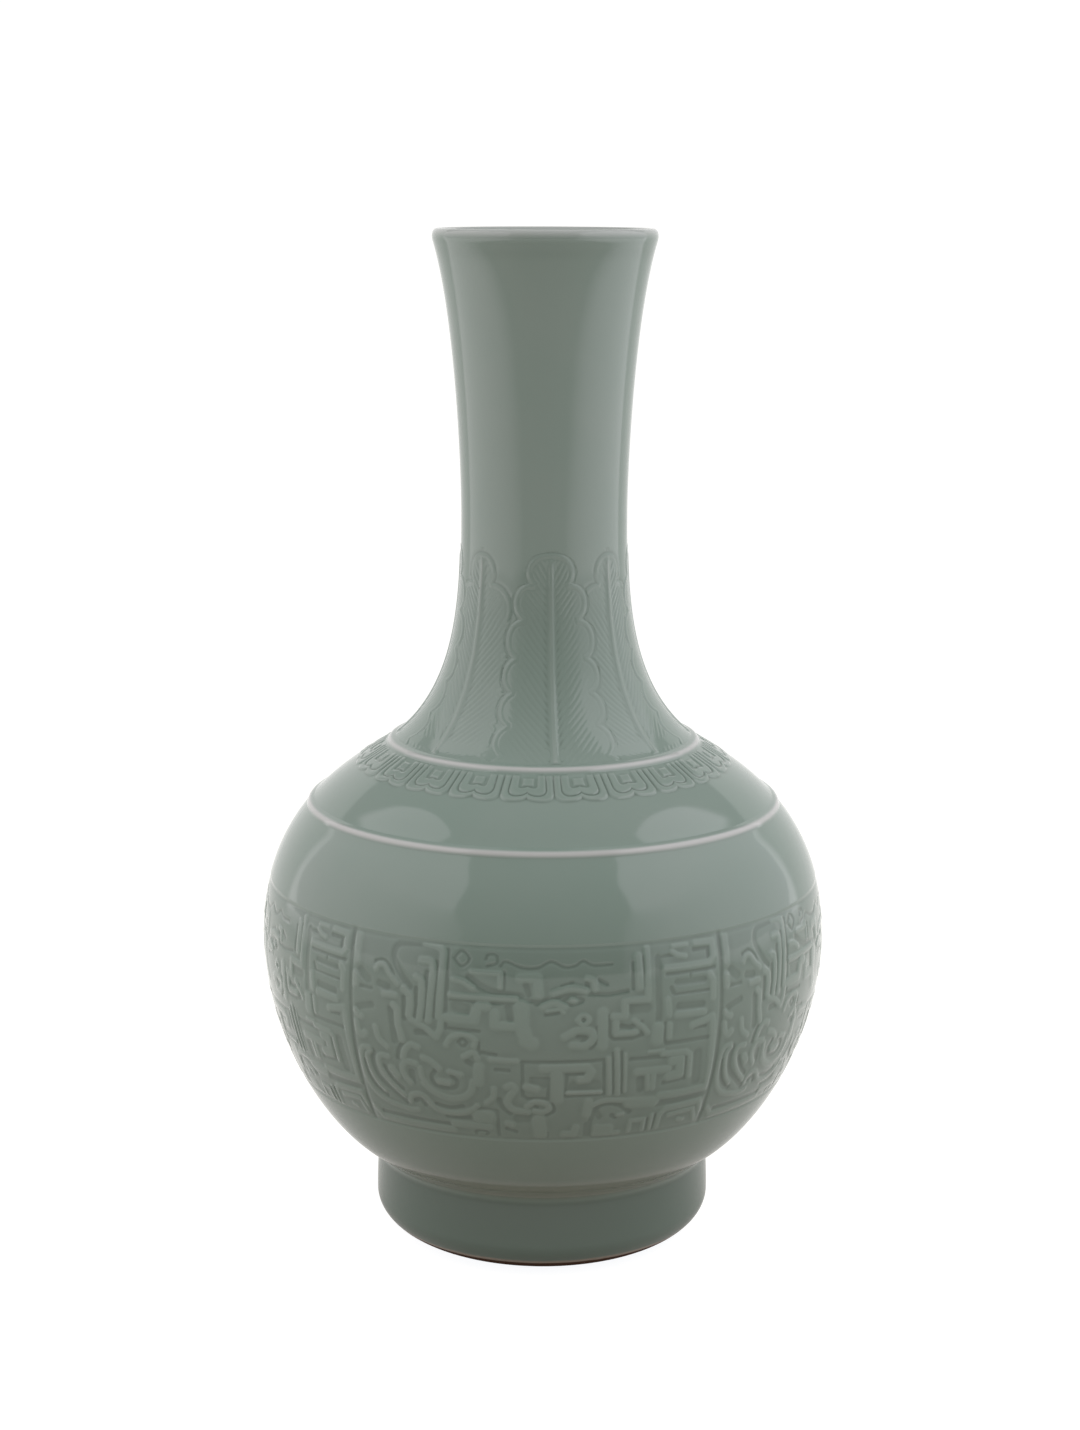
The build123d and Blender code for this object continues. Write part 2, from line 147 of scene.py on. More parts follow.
def celadon(name, bare_height=0.0):
    """Glaze colour by the depth it lies at, read from a point attribute: -1 pale, for glaze thin over an edge
    and for painted light; 0 even; 1 dark, for pooled glaze and for painted shade. With faint clouds, a few
    iron specks and a slightly uneven gloss; below the bare height, in metres, there is burnt clay instead."""
    material = bpy.data.materials.new(name)
    tree = blank(material)
    place = tree.node("TexCoord", {}, {}, "Object")
    pool_and_painted_light = tree.node("Attribute", {"attribute_name": "pool_and_painted_light"}, {}, "Fac")
    clouds = tree.node("TexNoise", {}, {"Vector": place, "Scale": CLOUD_SCALE, "Detail": 3.0})
    ripple = tree.node("TexNoise", {}, {"Vector": place, "Scale": RIPPLE_SCALE, "Detail": 1.0})
    colour = clouds.step(CLOUD_START, CLOUD_END).mix(GLAZE, CLOUDED_GLAZE)
    colour = pool_and_painted_light.step(0.0, 1.0).mix(colour, DEEP_GLAZE_AND_PAINTED_SHADE)
    colour = pool_and_painted_light.step(0.0, -1.0).mix(colour, THIN_GLAZE_AND_PAINTED_LIGHT)
    cells = {"Vector": place, "Scale": SPECK_SCALE}
    speck = tree.node("TexVoronoi", {}, cells, "Distance").step(SPECK_RIM, SPECK_CORE)
    cell = tree.node("SeparateColor", {}, {0: tree.node("TexVoronoi", {}, cells, "Color")}, 0)
    chosen = cell.step(PLAIN_SHARE, SPECKED_SHARE)
    colour = (speck * chosen * SPECK_STRENGTH).mix(colour, IRON_SPECK)
    bump = tree.node("Bump", {}, {"Strength": RIPPLE_STRENGTH, "Distance": RIPPLE_HEIGHT, "Height": ripple})
    gloss = GLOSS + GLOSS_SPREAD * clouds
    surface = {"Base Color": colour, "Roughness": gloss, "Normal": bump, "IOR": GLAZE_IOR}
    if bare_height:
        height = tree.node("SeparateXYZ", {}, {0: place}, "Z") + BARE_WAVER * ripple
        fringe = height.step(bare_height + FRINGE_TOP, bare_height + FRINGE_FOOT)
        surface["Base Color"] = fringe.mix(colour, GLAZE_FRINGE)
        grit = tree.node("TexNoise", {}, {"Vector": place, "Scale": GRIT_SCALE, "Detail": 2.0})
        burnt = {
            "Base Color": grit.mix(BARE_CLAY, BURNT_CLAY),
            "Roughness": CLAY_ROUGHNESS, "Specular IOR Level": CLAY_SPECULAR,
        }
        glazed, bare = tree.node("BsdfPrincipled", {}, surface), tree.node("BsdfPrincipled", {}, burnt)
        edge = height.step(bare_height + FRINGE_FOOT, bare_height - BARE_BLUR)
        shader = tree.node("MixShader", {}, {0: edge, 1: glazed, 2: bare})
    else:
        shader = tree.node("BsdfPrincipled", {}, surface)
    tree.node("OutputMaterial", {}, {"Surface": shader})
    return material


def fired(name, node, grid, pool_and_painted_light, finish):
    """Piece over a grid of points (rows, columns, 3): a quad between every four neighbours, and points that
    coincide made one, so that a grid which meets itself is closed. It takes the place of one solid."""
    flat = np.round(grid.reshape(-1, 3), decimals=4)
    points, first, number = np.unique(flat, axis=0, return_index=True, return_inverse=True)
    number = number.reshape(grid.shape[:2])
    corners = [number[:-1, :-1], number[:-1, 1:], number[1:, 1:], number[1:, :-1]]
    quads = np.stack(corners, -1).reshape(-1, 4)
    kept = quads != np.roll(quads, -1, 1)
    whole = kept.sum(1) > 2
    quads, kept = quads[whole], kept[whole]
    mesh = bpy.data.meshes.new(name)
    mesh.vertices.add(len(points))
    mesh.vertices.foreach_set("co", (points * MILLIMETRE).ravel())
    mesh.loops.add(int(kept.sum()))
    mesh.loops.foreach_set("vertex_index", quads[kept])
    mesh.polygons.add(len(quads))
    mesh.polygons.foreach_set("loop_start", np.cumsum(kept.sum(1)) - kept.sum(1))
    mesh.update(calc_edges=True)
    depth = np.broadcast_to(pool_and_painted_light, grid.shape[:2]).ravel()[first]
    mesh.attributes.new("pool_and_painted_light", "FLOAT", "POINT").data.foreach_set("value", depth.astype(np.float32))
    mesh.shade_smooth()
    mesh.set_sharp_from_angle(angle=SMOOTH_ANGLE)
    mesh.materials.append(finish)
    piece = placed(name, mesh)
    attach(piece, "root")
    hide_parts(node)


def turned(line):
    """Closed line of (radius, height) carried round the axis: x = r sin a, y = -r cos a, z = height."""
    turn = np.linspace(0, 2 * np.pi, TURN_STEPS + 1)
    radius, height = np.vstack([line, line[:1]]).T[:, :, None]
    return np.stack([radius * np.sin(turn), -radius * np.cos(turn), height + 0 * turn], -1)


def ellipse(centre, radii, start, end, count):
    """Points of an ellipse about a centre from one angle to another, in degrees."""
    angle = np.radians(np.linspace(start, end, count))[:, None]
    return np.array(centre) + np.array(radii) * np.hstack([np.cos(angle), np.sin(angle)])


def soft(distance, blur):
    """1 well inside an edge and 0 well outside it: the square of a share times (3 - 2 shares), where the
    share is a half plus the distance inside the edge over the blur, kept between 0 and 1."""
    share = np.clip(distance / blur + 0.5, 0, 1)
    return share * share * (3 - 2 * share)


def bell(distance, reach):
    """1 at no distance and less on both sides: e to the power of minus the square of distance over reach."""
    return np.exp(-((distance / reach) ** 2))


def cubic(points, count):
    """Points and outward normals of a cubic curve: four control points weighted by Bernstein's shares of
    the way."""
    p, t = np.array(points, float), np.linspace(0, 1, count)[:, None]
    line = (1 - t) ** 3 * p[0] + 3 * t * (1 - t) ** 2 * p[1] + 3 * t**2 * (1 - t) * p[2] + t**3 * p[3]
    run = (1 - t) ** 2 * (p[1] - p[0]) + 2 * t * (1 - t) * (p[2] - p[1]) + t**2 * (p[3] - p[2])
    run /= np.linalg.norm(run, axis=1)[:, None]
    return np.hstack([line, run[:, 1:], -run[:, :1]])


under = np.array([np.cos(UNDERSIDE_SLOPE), np.sin(UNDERSIDE_SLOPE)])
rise_in = np.array([-np.cos(SHOULDER_SLOPE), np.sin(SHOULDER_SLOPE)])
flare = np.array([np.sin(FLARE_SLOPE), np.cos(FLARE_SLOPE)])
up = np.array([0.0, 1.0])


def wall_line(out, count):
    """The thrown wall from crease to lip as four cubics, moved out at their ends by a distance (negative
    for the inside): bowl, shoulder, neck and flare, each as rows of radius, height and the normal's radius
    and height."""
    crease = np.array([CREASE_RADIUS, FOOT_HEIGHT]) + out * np.array([under[1], -under[0]])
    belly = np.array([BELLY_RADIUS + out, BELLY_HEIGHT])
    collar = np.array([COLLAR_RADIUS, COLLAR_HEIGHT]) + out * np.array([rise_in[1], -rise_in[0]])
    waist = np.array([WAIST_RADIUS + out, WAIST_HEIGHT])
    lip = np.array([MOUTH_RADIUS, RIM_HEIGHT - (1 + flare[0]) * WALL / 2])
    lip = lip + out * np.array([flare[1], -flare[0]])
    return [
        cubic([crease, crease + UNDERSIDE_PULL * under, belly - BELLY_PULL_DOWN * up, belly], count),
        cubic([belly, belly + BELLY_PULL_UP * up, collar - SHOULDER_PULL * rise_in, collar], count),
        cubic([collar, collar + COLLAR_PULL * rise_in, waist - WAIST_PULL_DOWN * up, waist], count),
        cubic([waist, waist + WAIST_PULL_UP * up, lip - FLARE_PULL * flare, lip], count),
    ]


outside = np.vstack(wall_line(0.0, LINE_STEPS))
outside_steps = np.linalg.norm(np.diff(outside[:, :2], axis=0), axis=1)
outside_length = np.concatenate([[0], np.cumsum(outside_steps)])


def along(height):
    """Distance along the outside line at a height."""
    return np.interp(height, outside[:, 1], outside_length)


for height in (SHOULDER_RIB_HEIGHT, COLLAR_HEIGHT):
    beside = outside_length - along(height)
    outside[:, :2] += RIB_SWELL * bell(beside, RIB_SWELL_REACH)[:, None] * outside[:, 2:]


def level(distance):
    """Height at a distance along the outside line."""
    return np.interp(distance, outside_length, outside[:, 1])


def off_wall(height, out):
    """Radius and height of points that stand off the outside line, square to it."""
    columns = outside[:, [0, 2, 3]].T
    radius, normal_radius, normal_height = (np.interp(height, outside[:, 1], column) for column in columns)
    return np.stack([radius + out * normal_radius, height + out * normal_height], -1)


share = np.linspace(0, 1, SIDE_STEPS)[:, None] * (1 - FILL_DOWN / (FOOT_HEIGHT - FOOT_SWELL_HEIGHT))
foot_side = np.hstack([
    FOOT_RADIUS + share**2 * (CREASE_RADIUS - FOOT_RADIUS),
    FOOT_SWELL_HEIGHT + share * (FOOT_HEIGHT - FOOT_SWELL_HEIGHT),
])
t = np.linspace(0, 1, FILL_STEPS)[:, None]
crease = np.array([CREASE_RADIUS, FOOT_HEIGHT])
bowl_start = off_wall(level(FILL_UP), 0)
fill = (1 - t) ** 2 * foot_side[-1] + 2 * t * (1 - t) * crease + t**2 * bowl_start
seam = np.array([[np.interp(FOOT_HEIGHT, fill[:, 1], fill[:, 0]), FOOT_HEIGHT]])
foot_inner, rest_inner = FOOT_RADIUS - FOOT_WALL, REST_RADIUS - REST_WIDTH
swell_radii = (FOOT_RADIUS - REST_RADIUS, FOOT_SWELL_HEIGHT)
undercut_radii = (foot_inner - rest_inner, FOOT_SWELL_HEIGHT)
foot_line = np.vstack([
    ellipse((REST_RADIUS, FOOT_SWELL_HEIGHT), swell_radii, 270, 360, SWELL_STEPS),
    foot_side[1:],
    fill[1:][fill[1:, 1] < FOOT_HEIGHT],
    seam,
    np.linspace((foot_inner, FOOT_HEIGHT), (foot_inner, FOOT_SWELL_HEIGHT), BORE_STEPS),
    ellipse((rest_inner, FOOT_SWELL_HEIGHT), undercut_radii, 360, 270, UNDERCUT_STEPS),
])
foot_heights = np.append(foot_line, foot_line[:1], 0)[:, 1:]
# Painted light: the foot's glaze is made pale near the crease, where it lies in shade under the bowl.
below_crease = soft(FOOT_HEIGHT - foot_heights - CREASE_FADE / 2, CREASE_FADE)
# Painted shade darkens the whole foot below the crease, where the belly shades it, and painted light pales it
# again towards the bottom edge.
foot_painted_shade_and_light = CREASE_PAINTED_LIGHT / 2 * (1 - below_crease) + FOOT_PAINTED_SHADE * below_crease
foot_painted_shade_and_light = foot_painted_shade_and_light - FOOT_EDGE_PAINTED_LIGHT * np.exp(-foot_heights / FOOT_EDGE_FADE)
bare_rimmed = celadon("celadon_with_bare_rim", BARE_HEIGHT)
fired("glazed_foot_ring", "foot_ring", turned(foot_line), foot_painted_shade_and_light, bare_rimmed)


# Lower body: a thrown porcelain bowl with the floor of the vase, glazed inside and out. It is luted flat on
# the foot ring, and the lower half of the relief band is let into its wall.
FLOOR, FLOOR_FLAT_RADIUS, FLOOR_EDGE_PULL = 7.0, 45.0, 6.0
BAND_BOTTOM, BAND_TOP, BAND_DEPTH = 86.5, 185.5, 1.6
ROW_SPACING, INSIDE_STEPS, FLOOR_STEPS, UNDERSIDE_STEPS = 1.6, 60, 30, 20
CREASE_LIGHT_RISE, CREASE_LIGHT_FADE = 8.0, 11.0
glaze = celadon("celadon")


def rows(low, high, spacing):
    """Heights between two levels, evenly spaced along the outside line."""
    start, end = along(low), along(high)
    return level(np.linspace(start, end, int(np.ceil((end - start) / spacing)) + 1))


def bedded(low, high, beds):
    """Outside line between two heights, stepped in by the depth of each bed (low, high, depth) cut in it."""
    cuts = sorted({low, high} | {h for bed in beds for h in bed[:2] if low < h < high})
    parts = []
    for start, end in zip(cuts, cuts[1:]):
        depth = max([deep for foot, head, deep in beds if foot <= start and end <= head], default=0)
        parts.append(off_wall(rows(start, end, ROW_SPACING), -depth))
    return np.vstack(parts)


inside = wall_line(-WALL, INSIDE_STEPS)
floor_edge = inside[0][0, :2]
floor_middle, floor_flat = (0, FOOT_HEIGHT + FLOOR), (FLOOR_FLAT_RADIUS, FOOT_HEIGHT + FLOOR)
floor_line = cubic([floor_middle, floor_flat, floor_edge - FLOOR_EDGE_PULL * under, floor_edge], FLOOR_STEPS)
lower_line = np.vstack([
    np.linspace((0, FOOT_HEIGHT), seam[0], UNDERSIDE_STEPS),
    fill[fill[:, 1] > FOOT_HEIGHT],
    bedded(bowl_start[1], BELLY_HEIGHT, [(BAND_BOTTOM, BAND_TOP, BAND_DEPTH)])[1:],
    inside[0][::-1, :2],
    floor_line[-2::-1, :2],
])
lower_heights = np.append(lower_line, lower_line[:1], 0)[:, 1:]
# Painted light: the bowl's glaze is made pale just above the crease, where it lies in shade.
near_crease = soft(FOOT_HEIGHT + CREASE_LIGHT_RISE + CREASE_LIGHT_FADE / 2 - lower_heights, CREASE_LIGHT_FADE)
bowl_painted_light = CREASE_PAINTED_LIGHT * near_crease
fired("glazed_lower_body", "lower_body", turned(lower_line), bowl_painted_light, glaze)


# Upper body: a thrown porcelain dome, luted on the bowl at the widest line and cut off square to its wall
# at the collar. The upper half of the band, the shoulder rib and the lappets are let into it.
RIB_HALF_WIDTH, RIB_BED = 2.9, 0.4
LAPPET_BOTTOM, LEAF_TOP = 239.4, 350.6
shoulder_rib_span = level(along(SHOULDER_RIB_HEIGHT) + np.array([-RIB_HALF_WIDTH, RIB_HALF_WIDTH]))
neck_rib_span = level(along(COLLAR_HEIGHT) + np.array([-RIB_HALF_WIDTH, RIB_HALF_WIDTH]))
beds = [
    (BAND_BOTTOM, BAND_TOP, BAND_DEPTH),
    (*shoulder_rib_span, RIB_BED),
    (LAPPET_BOTTOM, neck_rib_span[0], RIB_BED),
    (*neck_rib_span, RIB_BED),
    (neck_rib_span[1], LEAF_TOP, RIB_BED),
]
upper_line = np.vstack([bedded(BELLY_HEIGHT, COLLAR_HEIGHT, beds), inside[1][::-1, :2]])
fired("glazed_upper_body", "upper_body", turned(upper_line), 0.0, glaze)


# Neck: a thrown porcelain tube that spreads to the collar below and flares to a half-round lip above, luted
# on the dome. The glaze draws thin and pale over the lip.
LIP_START, LIP_STEPS = 493.8, 26
LIP_POOL, LIP_POOL_DROP, LIP_POOL_REACH = 0.20, 11.0, 3.5
LIP_THIN, LIP_THIN_REACH = 0.62, 4.0
lip_outer = off_wall(LIP_START, 0)
lip_inner = lip_outer - WALL * np.array([flare[1], -flare[0]])
lip_centre = (lip_outer + lip_inner) / 2
lip_length = np.sqrt((RIM_HEIGHT - lip_centre[1]) ** 2 - (flare[0] * WALL / 2) ** 2) / flare[1]
lip_turn = np.radians(np.linspace(0, 180, LIP_STEPS))[1:-1, None]
neck_line = np.vstack([
    bedded(COLLAR_HEIGHT, LIP_START, beds),
    lip_centre + np.cos(lip_turn) * (lip_outer - lip_centre) + np.sin(lip_turn) * lip_length * flare,
    inside[3][::-1, :2][inside[3][::-1, 1] <= lip_inner[1]],
    inside[2][-2::-1, :2],
])
below_lip = RIM_HEIGHT - np.append(neck_line, neck_line[:1], 0)[:, 1:]
lip_depth = LIP_POOL * bell(below_lip - LIP_POOL_DROP, LIP_POOL_REACH)
lip_depth = lip_depth - LIP_THIN * bell(below_lip, LIP_THIN_REACH)
fired("glazed_neck", "neck", turned(neck_line), lip_depth, glaze)


# Ribs: two rolled cords of porcelain clay pressed down on the shoulder and over the seam at the foot of the
# neck. The glaze runs off their crests, which stay pale.
RIB_RISE, RIB_ROWS = 0.7, 31
BED_CLEARANCE, BACK_ROWS, NEARLY_ROUND = 0.05, 9, 359
SHOULDER_BARENESS, NECK_BARENESS = 0.95, 0.84
CREST_SHIFT, CREST_REACH = 0.2, 0.52


def pad(azimuth, height, rise, bed):
    """Closed pad on the wall: a face at azimuths and heights (rows, columns) that stands off the outside
    line by rise, a plain back just clear of the bed, and edges that close both where the pad does not meet
    itself."""
    azimuth, height, rise = np.broadcast_arrays(azimuth, height, rise)
    turn = np.radians(azimuth)

    def points(out):
        """Points that stand off the wall: x = r sin a, y = -r cos a, z = height."""
        ring, level_there = np.moveaxis(off_wall(height, out), -1, 0)
        return np.stack([ring * np.sin(turn), -ring * np.cos(turn), level_there], -1)

    face, back = points(rise), points(BED_CLEARANCE - bed)
    picked = np.linspace(0, len(face) - 1, BACK_ROWS).astype(int)
    nearest = picked[np.abs(np.arange(len(face))[:, None] - picked).argmin(1)]
    loop = np.vstack([face, back[picked[::-1]], face[:1]])
    ends = np.vstack([back[nearest], back[picked[::-1]], back[nearest[:1]]])
    if np.ptp(azimuth) > NEARLY_ROUND:
        return loop
    return np.hstack([ends[:, :1], loop, ends[:, -1:]])


def loop_depth(pool_and_painted_light, grid):
    """Glaze depths of a pad's face carried over to its back and edges."""
    back = np.zeros((grid.shape[0] - len(pool_and_painted_light), pool_and_painted_light.shape[1]))
    whole = np.vstack([pool_and_painted_light, back])
    return np.pad(whole, [(0, 0)] + [((grid.shape[1] - whole.shape[1]) // 2,) * 2], mode="edge")


turn_steps = np.linspace(0, 360, TURN_STEPS + 1)[None, :]
for name, node, span, bareness in (
    ("glazed_shoulder_rib", "shoulder_rib", shoulder_rib_span, SHOULDER_BARENESS),
    ("glazed_neck_rib", "neck_rib", neck_rib_span, NECK_BARENESS),
):
    rib_rows = level(np.linspace(*along(span), RIB_ROWS))[:, None]
    from_crest = np.linspace(-1, 1, RIB_ROWS)[:, None]
    rib = pad(turn_steps, rib_rows, RIB_RISE * (1 - from_crest**2) ** 1.5, RIB_BED)
    thin = -bareness * bell(from_crest + CREST_SHIFT, CREST_REACH)
    fired(name, node, rib, loop_depth(thin + 0 * turn_steps, rib), glaze)


# Lappet collar: a strip of porcelain clay pressed in a mould and let in close under the neck rib. Each
# lappet has a raised rim with a nick below, and inside it a split tongue round a small square boss.
LAPPET_COUNT, LAPPET_TURN = 22, 11.4
LOBE_ANGLE, LOBE_BOTTOM, LOBE_CORNER, LOBE_RISE = 7.85, 241.2, 5.0, 0.48
LINE_INSET, LINE_WIDTH, LINE_DEPTH = 3.0, 0.5, 0.42
HOLLOW_ANGLE, HOLLOW_BOTTOM, HOLLOW_CORNER, HOLLOW_DEPTH = 3.2, 245.5, 2.0, 0.40
BOSS_ANGLE, BOSS_BOTTOM, BOSS_TOP = 1.7, 246.6, 249.0
NICK_DEPTH, NICK_ANGLE = 2.4, 1.3
LAPPET_FOOT_MARGIN, LAPPET_HEAD_MARGIN = 1.0, 1.2
LAPPET_STEPS, LAPPET_SPACING = 66, 0.42
THINNING = 0.35


def rounded(a, b, radius):
    """Smaller of two distances inside, with the corner between them rounded: less a quarter of the radius
    times the square of 1 minus their difference over the radius, where that is positive."""
    gap = np.clip(1 - np.abs(a - b) / radius, 0, 1)
    return np.minimum(a, b) - gap * gap * radius / 4


def pooled(rise, passes, depth):
    """Glaze depth over a relief: how far a point lies below the mean of its neighbourhood, in units of
    depth. Over what stands above the mean the glaze thins about a third as fast."""
    mean = rise
    for _ in range(passes):
        edge = np.pad(mean, 1, mode="edge")
        mean = (2 * mean + edge[:-2, 1:-1] + edge[2:, 1:-1] + edge[1:-1, :-2] + edge[1:-1, 2:]) / 6
    below = (mean - rise) / depth
    return np.clip(np.maximum(below, THINNING * below), -1, 1)


lappet_rows = rows(LAPPET_BOTTOM, neck_rib_span[0], LAPPET_SPACING)[:, None]
lappet_steps = np.linspace(0, 360, LAPPET_STEPS * LAPPET_COUNT + 1)[None, :]
pitch = 360 / LAPPET_COUNT
off_centre = np.abs((lappet_steps - LAPPET_TURN + pitch / 2) % pitch - pitch / 2)
degree = np.radians(1) * off_wall(lappet_rows, 0)[..., 0]
hang = along(lappet_rows)
nick = NICK_DEPTH * np.exp(-off_centre / NICK_ANGLE)
lobe = rounded((LOBE_ANGLE - off_centre) * degree, hang - along(LOBE_BOTTOM) - nick, LOBE_CORNER)
hollow_side, hollow_foot = (HOLLOW_ANGLE - off_centre) * degree, hang - along(HOLLOW_BOTTOM) - nick / 2
hollow = rounded(hollow_side, hollow_foot, HOLLOW_CORNER)
boss = np.minimum(hang - along(BOSS_BOTTOM), along(BOSS_TOP) - hang)
boss = np.minimum((BOSS_ANGLE - off_centre) * degree, boss)
lappet_rise = LOBE_RISE * soft(lobe, blur=1.2) - LINE_DEPTH * bell(lobe - LINE_INSET, LINE_WIDTH)
lappet_rise = lappet_rise - HOLLOW_DEPTH * soft(hollow, blur=1.0) * (1 - soft(boss, blur=1.0))
lappet_rise = lappet_rise * soft(hang - along(LAPPET_BOTTOM) - LAPPET_FOOT_MARGIN, blur=1.6)
lappet_rise = lappet_rise * soft(hang[-1] - hang - LAPPET_HEAD_MARGIN, blur=2.0)
collar = pad(lappet_steps, lappet_rows, lappet_rise, RIB_BED)
collar_depth = loop_depth(pooled(lappet_rise, passes=24, depth=0.28), collar)
fired("glazed_lappet_collar", "lappet_collar", collar, collar_depth, glaze)


# Plantain leaves: eight sheets of porcelain clay pressed in a mould, laid upright round the foot of the
# neck, every other one behind its neighbours. Each has a lobed edge with a raised rim, a strong midrib and
# slanting veins.
LEAF_COUNT, LEAF_TURN, LEAF_FIRST_STEP, LEAF_STEP = 8, 4.5, 43.5, 44.25
other_turns = [LEAF_TURN + LEAF_FIRST_STEP + LEAF_STEP * step for step in range(LEAF_COUNT - 1)]
leaf_turns = [LEAF_TURN] + other_turns
LEAF_RISE, BEHIND_RISE, LEAF_SKIRT = 0.14, 0.06, 1.6
MIDRIB_RISE, MIDRIB_ROOT, MIDRIB_NARROWING, MIDRIB_TOP, MIDRIB_FADE = 0.36, 1.35, 0.45, 345.0, 5.0
TROUGH_DEPTH, TROUGH_PLACE, TROUGH_WIDTH = 0.10, 2.6, 1.5
VEIN_DEPTH, VEIN_PITCH, VEIN_SLOPE, VEIN_STEEPENING, VEIN_SHARPNESS = 0.11, 4.2, 1.15, 0.5, 1.3
VEIN_WAVER, VEIN_WAVER_RATE = 0.6, 0.23
VEIN_START, VEIN_SHARE, VEIN_FADE, VEIN_BORDER = 2.4, 0.70, 0.4375, 3.2
LEAF_RIM_RISE, LEAF_RIM_INSET, LEAF_RIM_WIDTH = 0.06, 1.3, 0.8
BORDER_DEPTH, BORDER_INSET, BORDER_WIDTH = 0.07, 2.7, 0.5
MOAT_DEPTH, MOAT_OUTSET, MOAT_WIDTH = 0.16, 0.4, 0.85
LEAF_FOOT_MARGIN, LEAF_HEAD_MARGIN, BEHIND_GAP = 0.6, 0.4, 1.0
CORE_INSET, CORE_SLANT = 0.3, 0.9
LEAF_SPACING, LEAF_STEPS, BEHIND_STEPS, EDGE_STEPS = 0.48, 130, 96, 900
LOBES = (
    (2.0, 14.0, 340.0, 9.4), (14.0, 10.5, 325.5, 9.2), (18.0, 10.5, 308.0, 9.9),
    (18.5, 10.2, 291.5, 9.2), (18.0, 9.7, 276.5, 8.8), (17.0, 9.8, 263.0, 8.0), (16.5, 10.0, 250.5, 8.0),
)
BEHIND_LOBES = ((0.5, 11.5, 339.0, 9.0), (10.0, 15.0, 322.0, 12.0)) + LOBES[2:]


def leaf_edge(height, lobes):
    """Half width of a leaf in degrees at each height: the widest of its lobes, each a slab with half an
    ellipse at its end (slab half width, ellipse half width, height of its middle, half height)."""
    reach = [0 * height + lobes[0][0]]
    for slab, wide, middle, tall in lobes:
        rounding = wide * np.sqrt(np.clip(1 - ((height - middle) / tall) ** 2, 0, 1))
        reach.append((slab + rounding) * (np.abs(height - middle) < tall))
    return np.max(reach, axis=0)


def leaf_inside(off, height, lobes):
    """Distance inside a leaf's edge in millimetres, for degrees off its midrib: the largest of the
    distances inside each lobe, (1 - q) over the steepness of the ellipse's own radius q, and inside the
    core that joins the notches."""
    heights = np.linspace(COLLAR_HEIGHT, lobes[0][2] + lobes[0][3], EDGE_STEPS)
    widths = leaf_edge(heights, lobes)
    notched = np.flatnonzero((widths[1:-1] < widths[:-2]) & (widths[1:-1] <= widths[2:])) + 1
    core_heights = np.concatenate([heights[:1], heights[notched], heights[-1:]])
    core_widths = np.concatenate([widths[notched[:1]], widths[notched], [CORE_INSET]]) - CORE_INSET
    degree = np.radians(1) * off_wall(height, 0)[..., 0]
    slant = 1 / np.gradient(along(height)[:, 0], height[:, 0])[:, None]
    best = CORE_SLANT * (np.interp(height, core_heights, core_widths) - np.abs(off)) * degree
    for slab, wide, middle, tall in lobes:
        x, y = np.clip(np.abs(off) - slab, 1e-3, None) * degree, (height - middle) / slant
        a, b = wide * degree, tall / slant
        q = np.sqrt((x / a) ** 2 + (y / b) ** 2)
        best = np.maximum(best, (1 - q) * q / np.sqrt((x / a**2) ** 2 + (y / b**2) ** 2))
    return best


def leaf_relief(off, height, lobes, sheet):
    """Rise of one leaf: a low sheet with a line sunk outside its edge and another inside its border, a
    midrib that narrows upwards between two troughs, and veins that climb outwards from it and fade towards
    the border."""
    inner = leaf_inside(off, height, lobes)
    across = np.abs(off) * np.radians(1) * off_wall(height, 0)[..., 0]
    share = across / (np.radians(leaf_edge(height, lobes)) * off_wall(height, 0)[..., 0])
    climb = (height - COLLAR_HEIGHT) / (LEAF_TOP - COLLAR_HEIGHT)
    midrib_width = MIDRIB_ROOT - MIDRIB_NARROWING * climb
    midrib = 1 / (1 + (across / midrib_width) ** 4) * soft(MIDRIB_TOP - height, MIDRIB_FADE)
    trough = bell(across - TROUGH_PLACE * midrib_width, TROUGH_WIDTH) * soft(MIDRIB_TOP - height, MIDRIB_FADE)
    slope = VEIN_SLOPE + VEIN_STEEPENING * climb
    waver = VEIN_WAVER * np.sin(VEIN_WAVER_RATE * height)
    phase = (along(height) - slope * across + waver) / VEIN_PITCH
    vein = (0.5 + 0.5 * np.cos(2 * np.pi * phase)) ** VEIN_SHARPNESS
    veined = soft(across - VEIN_START, blur=1.8) * soft(VEIN_SHARE - share, VEIN_FADE)
    veined = veined * soft(inner - VEIN_BORDER, blur=2.4)
    rim = bell(inner - LEAF_RIM_INSET, LEAF_RIM_WIDTH)
    border = bell(inner - BORDER_INSET, BORDER_WIDTH)
    moat = bell(inner + MOAT_OUTSET, MOAT_WIDTH)
    face = sheet + MIDRIB_RISE * midrib - TROUGH_DEPTH * trough - VEIN_DEPTH * vein * veined
    face = face + LEAF_RIM_RISE * rim - BORDER_DEPTH * border
    return soft(inner, blur=1.6) * face - MOAT_DEPTH * moat


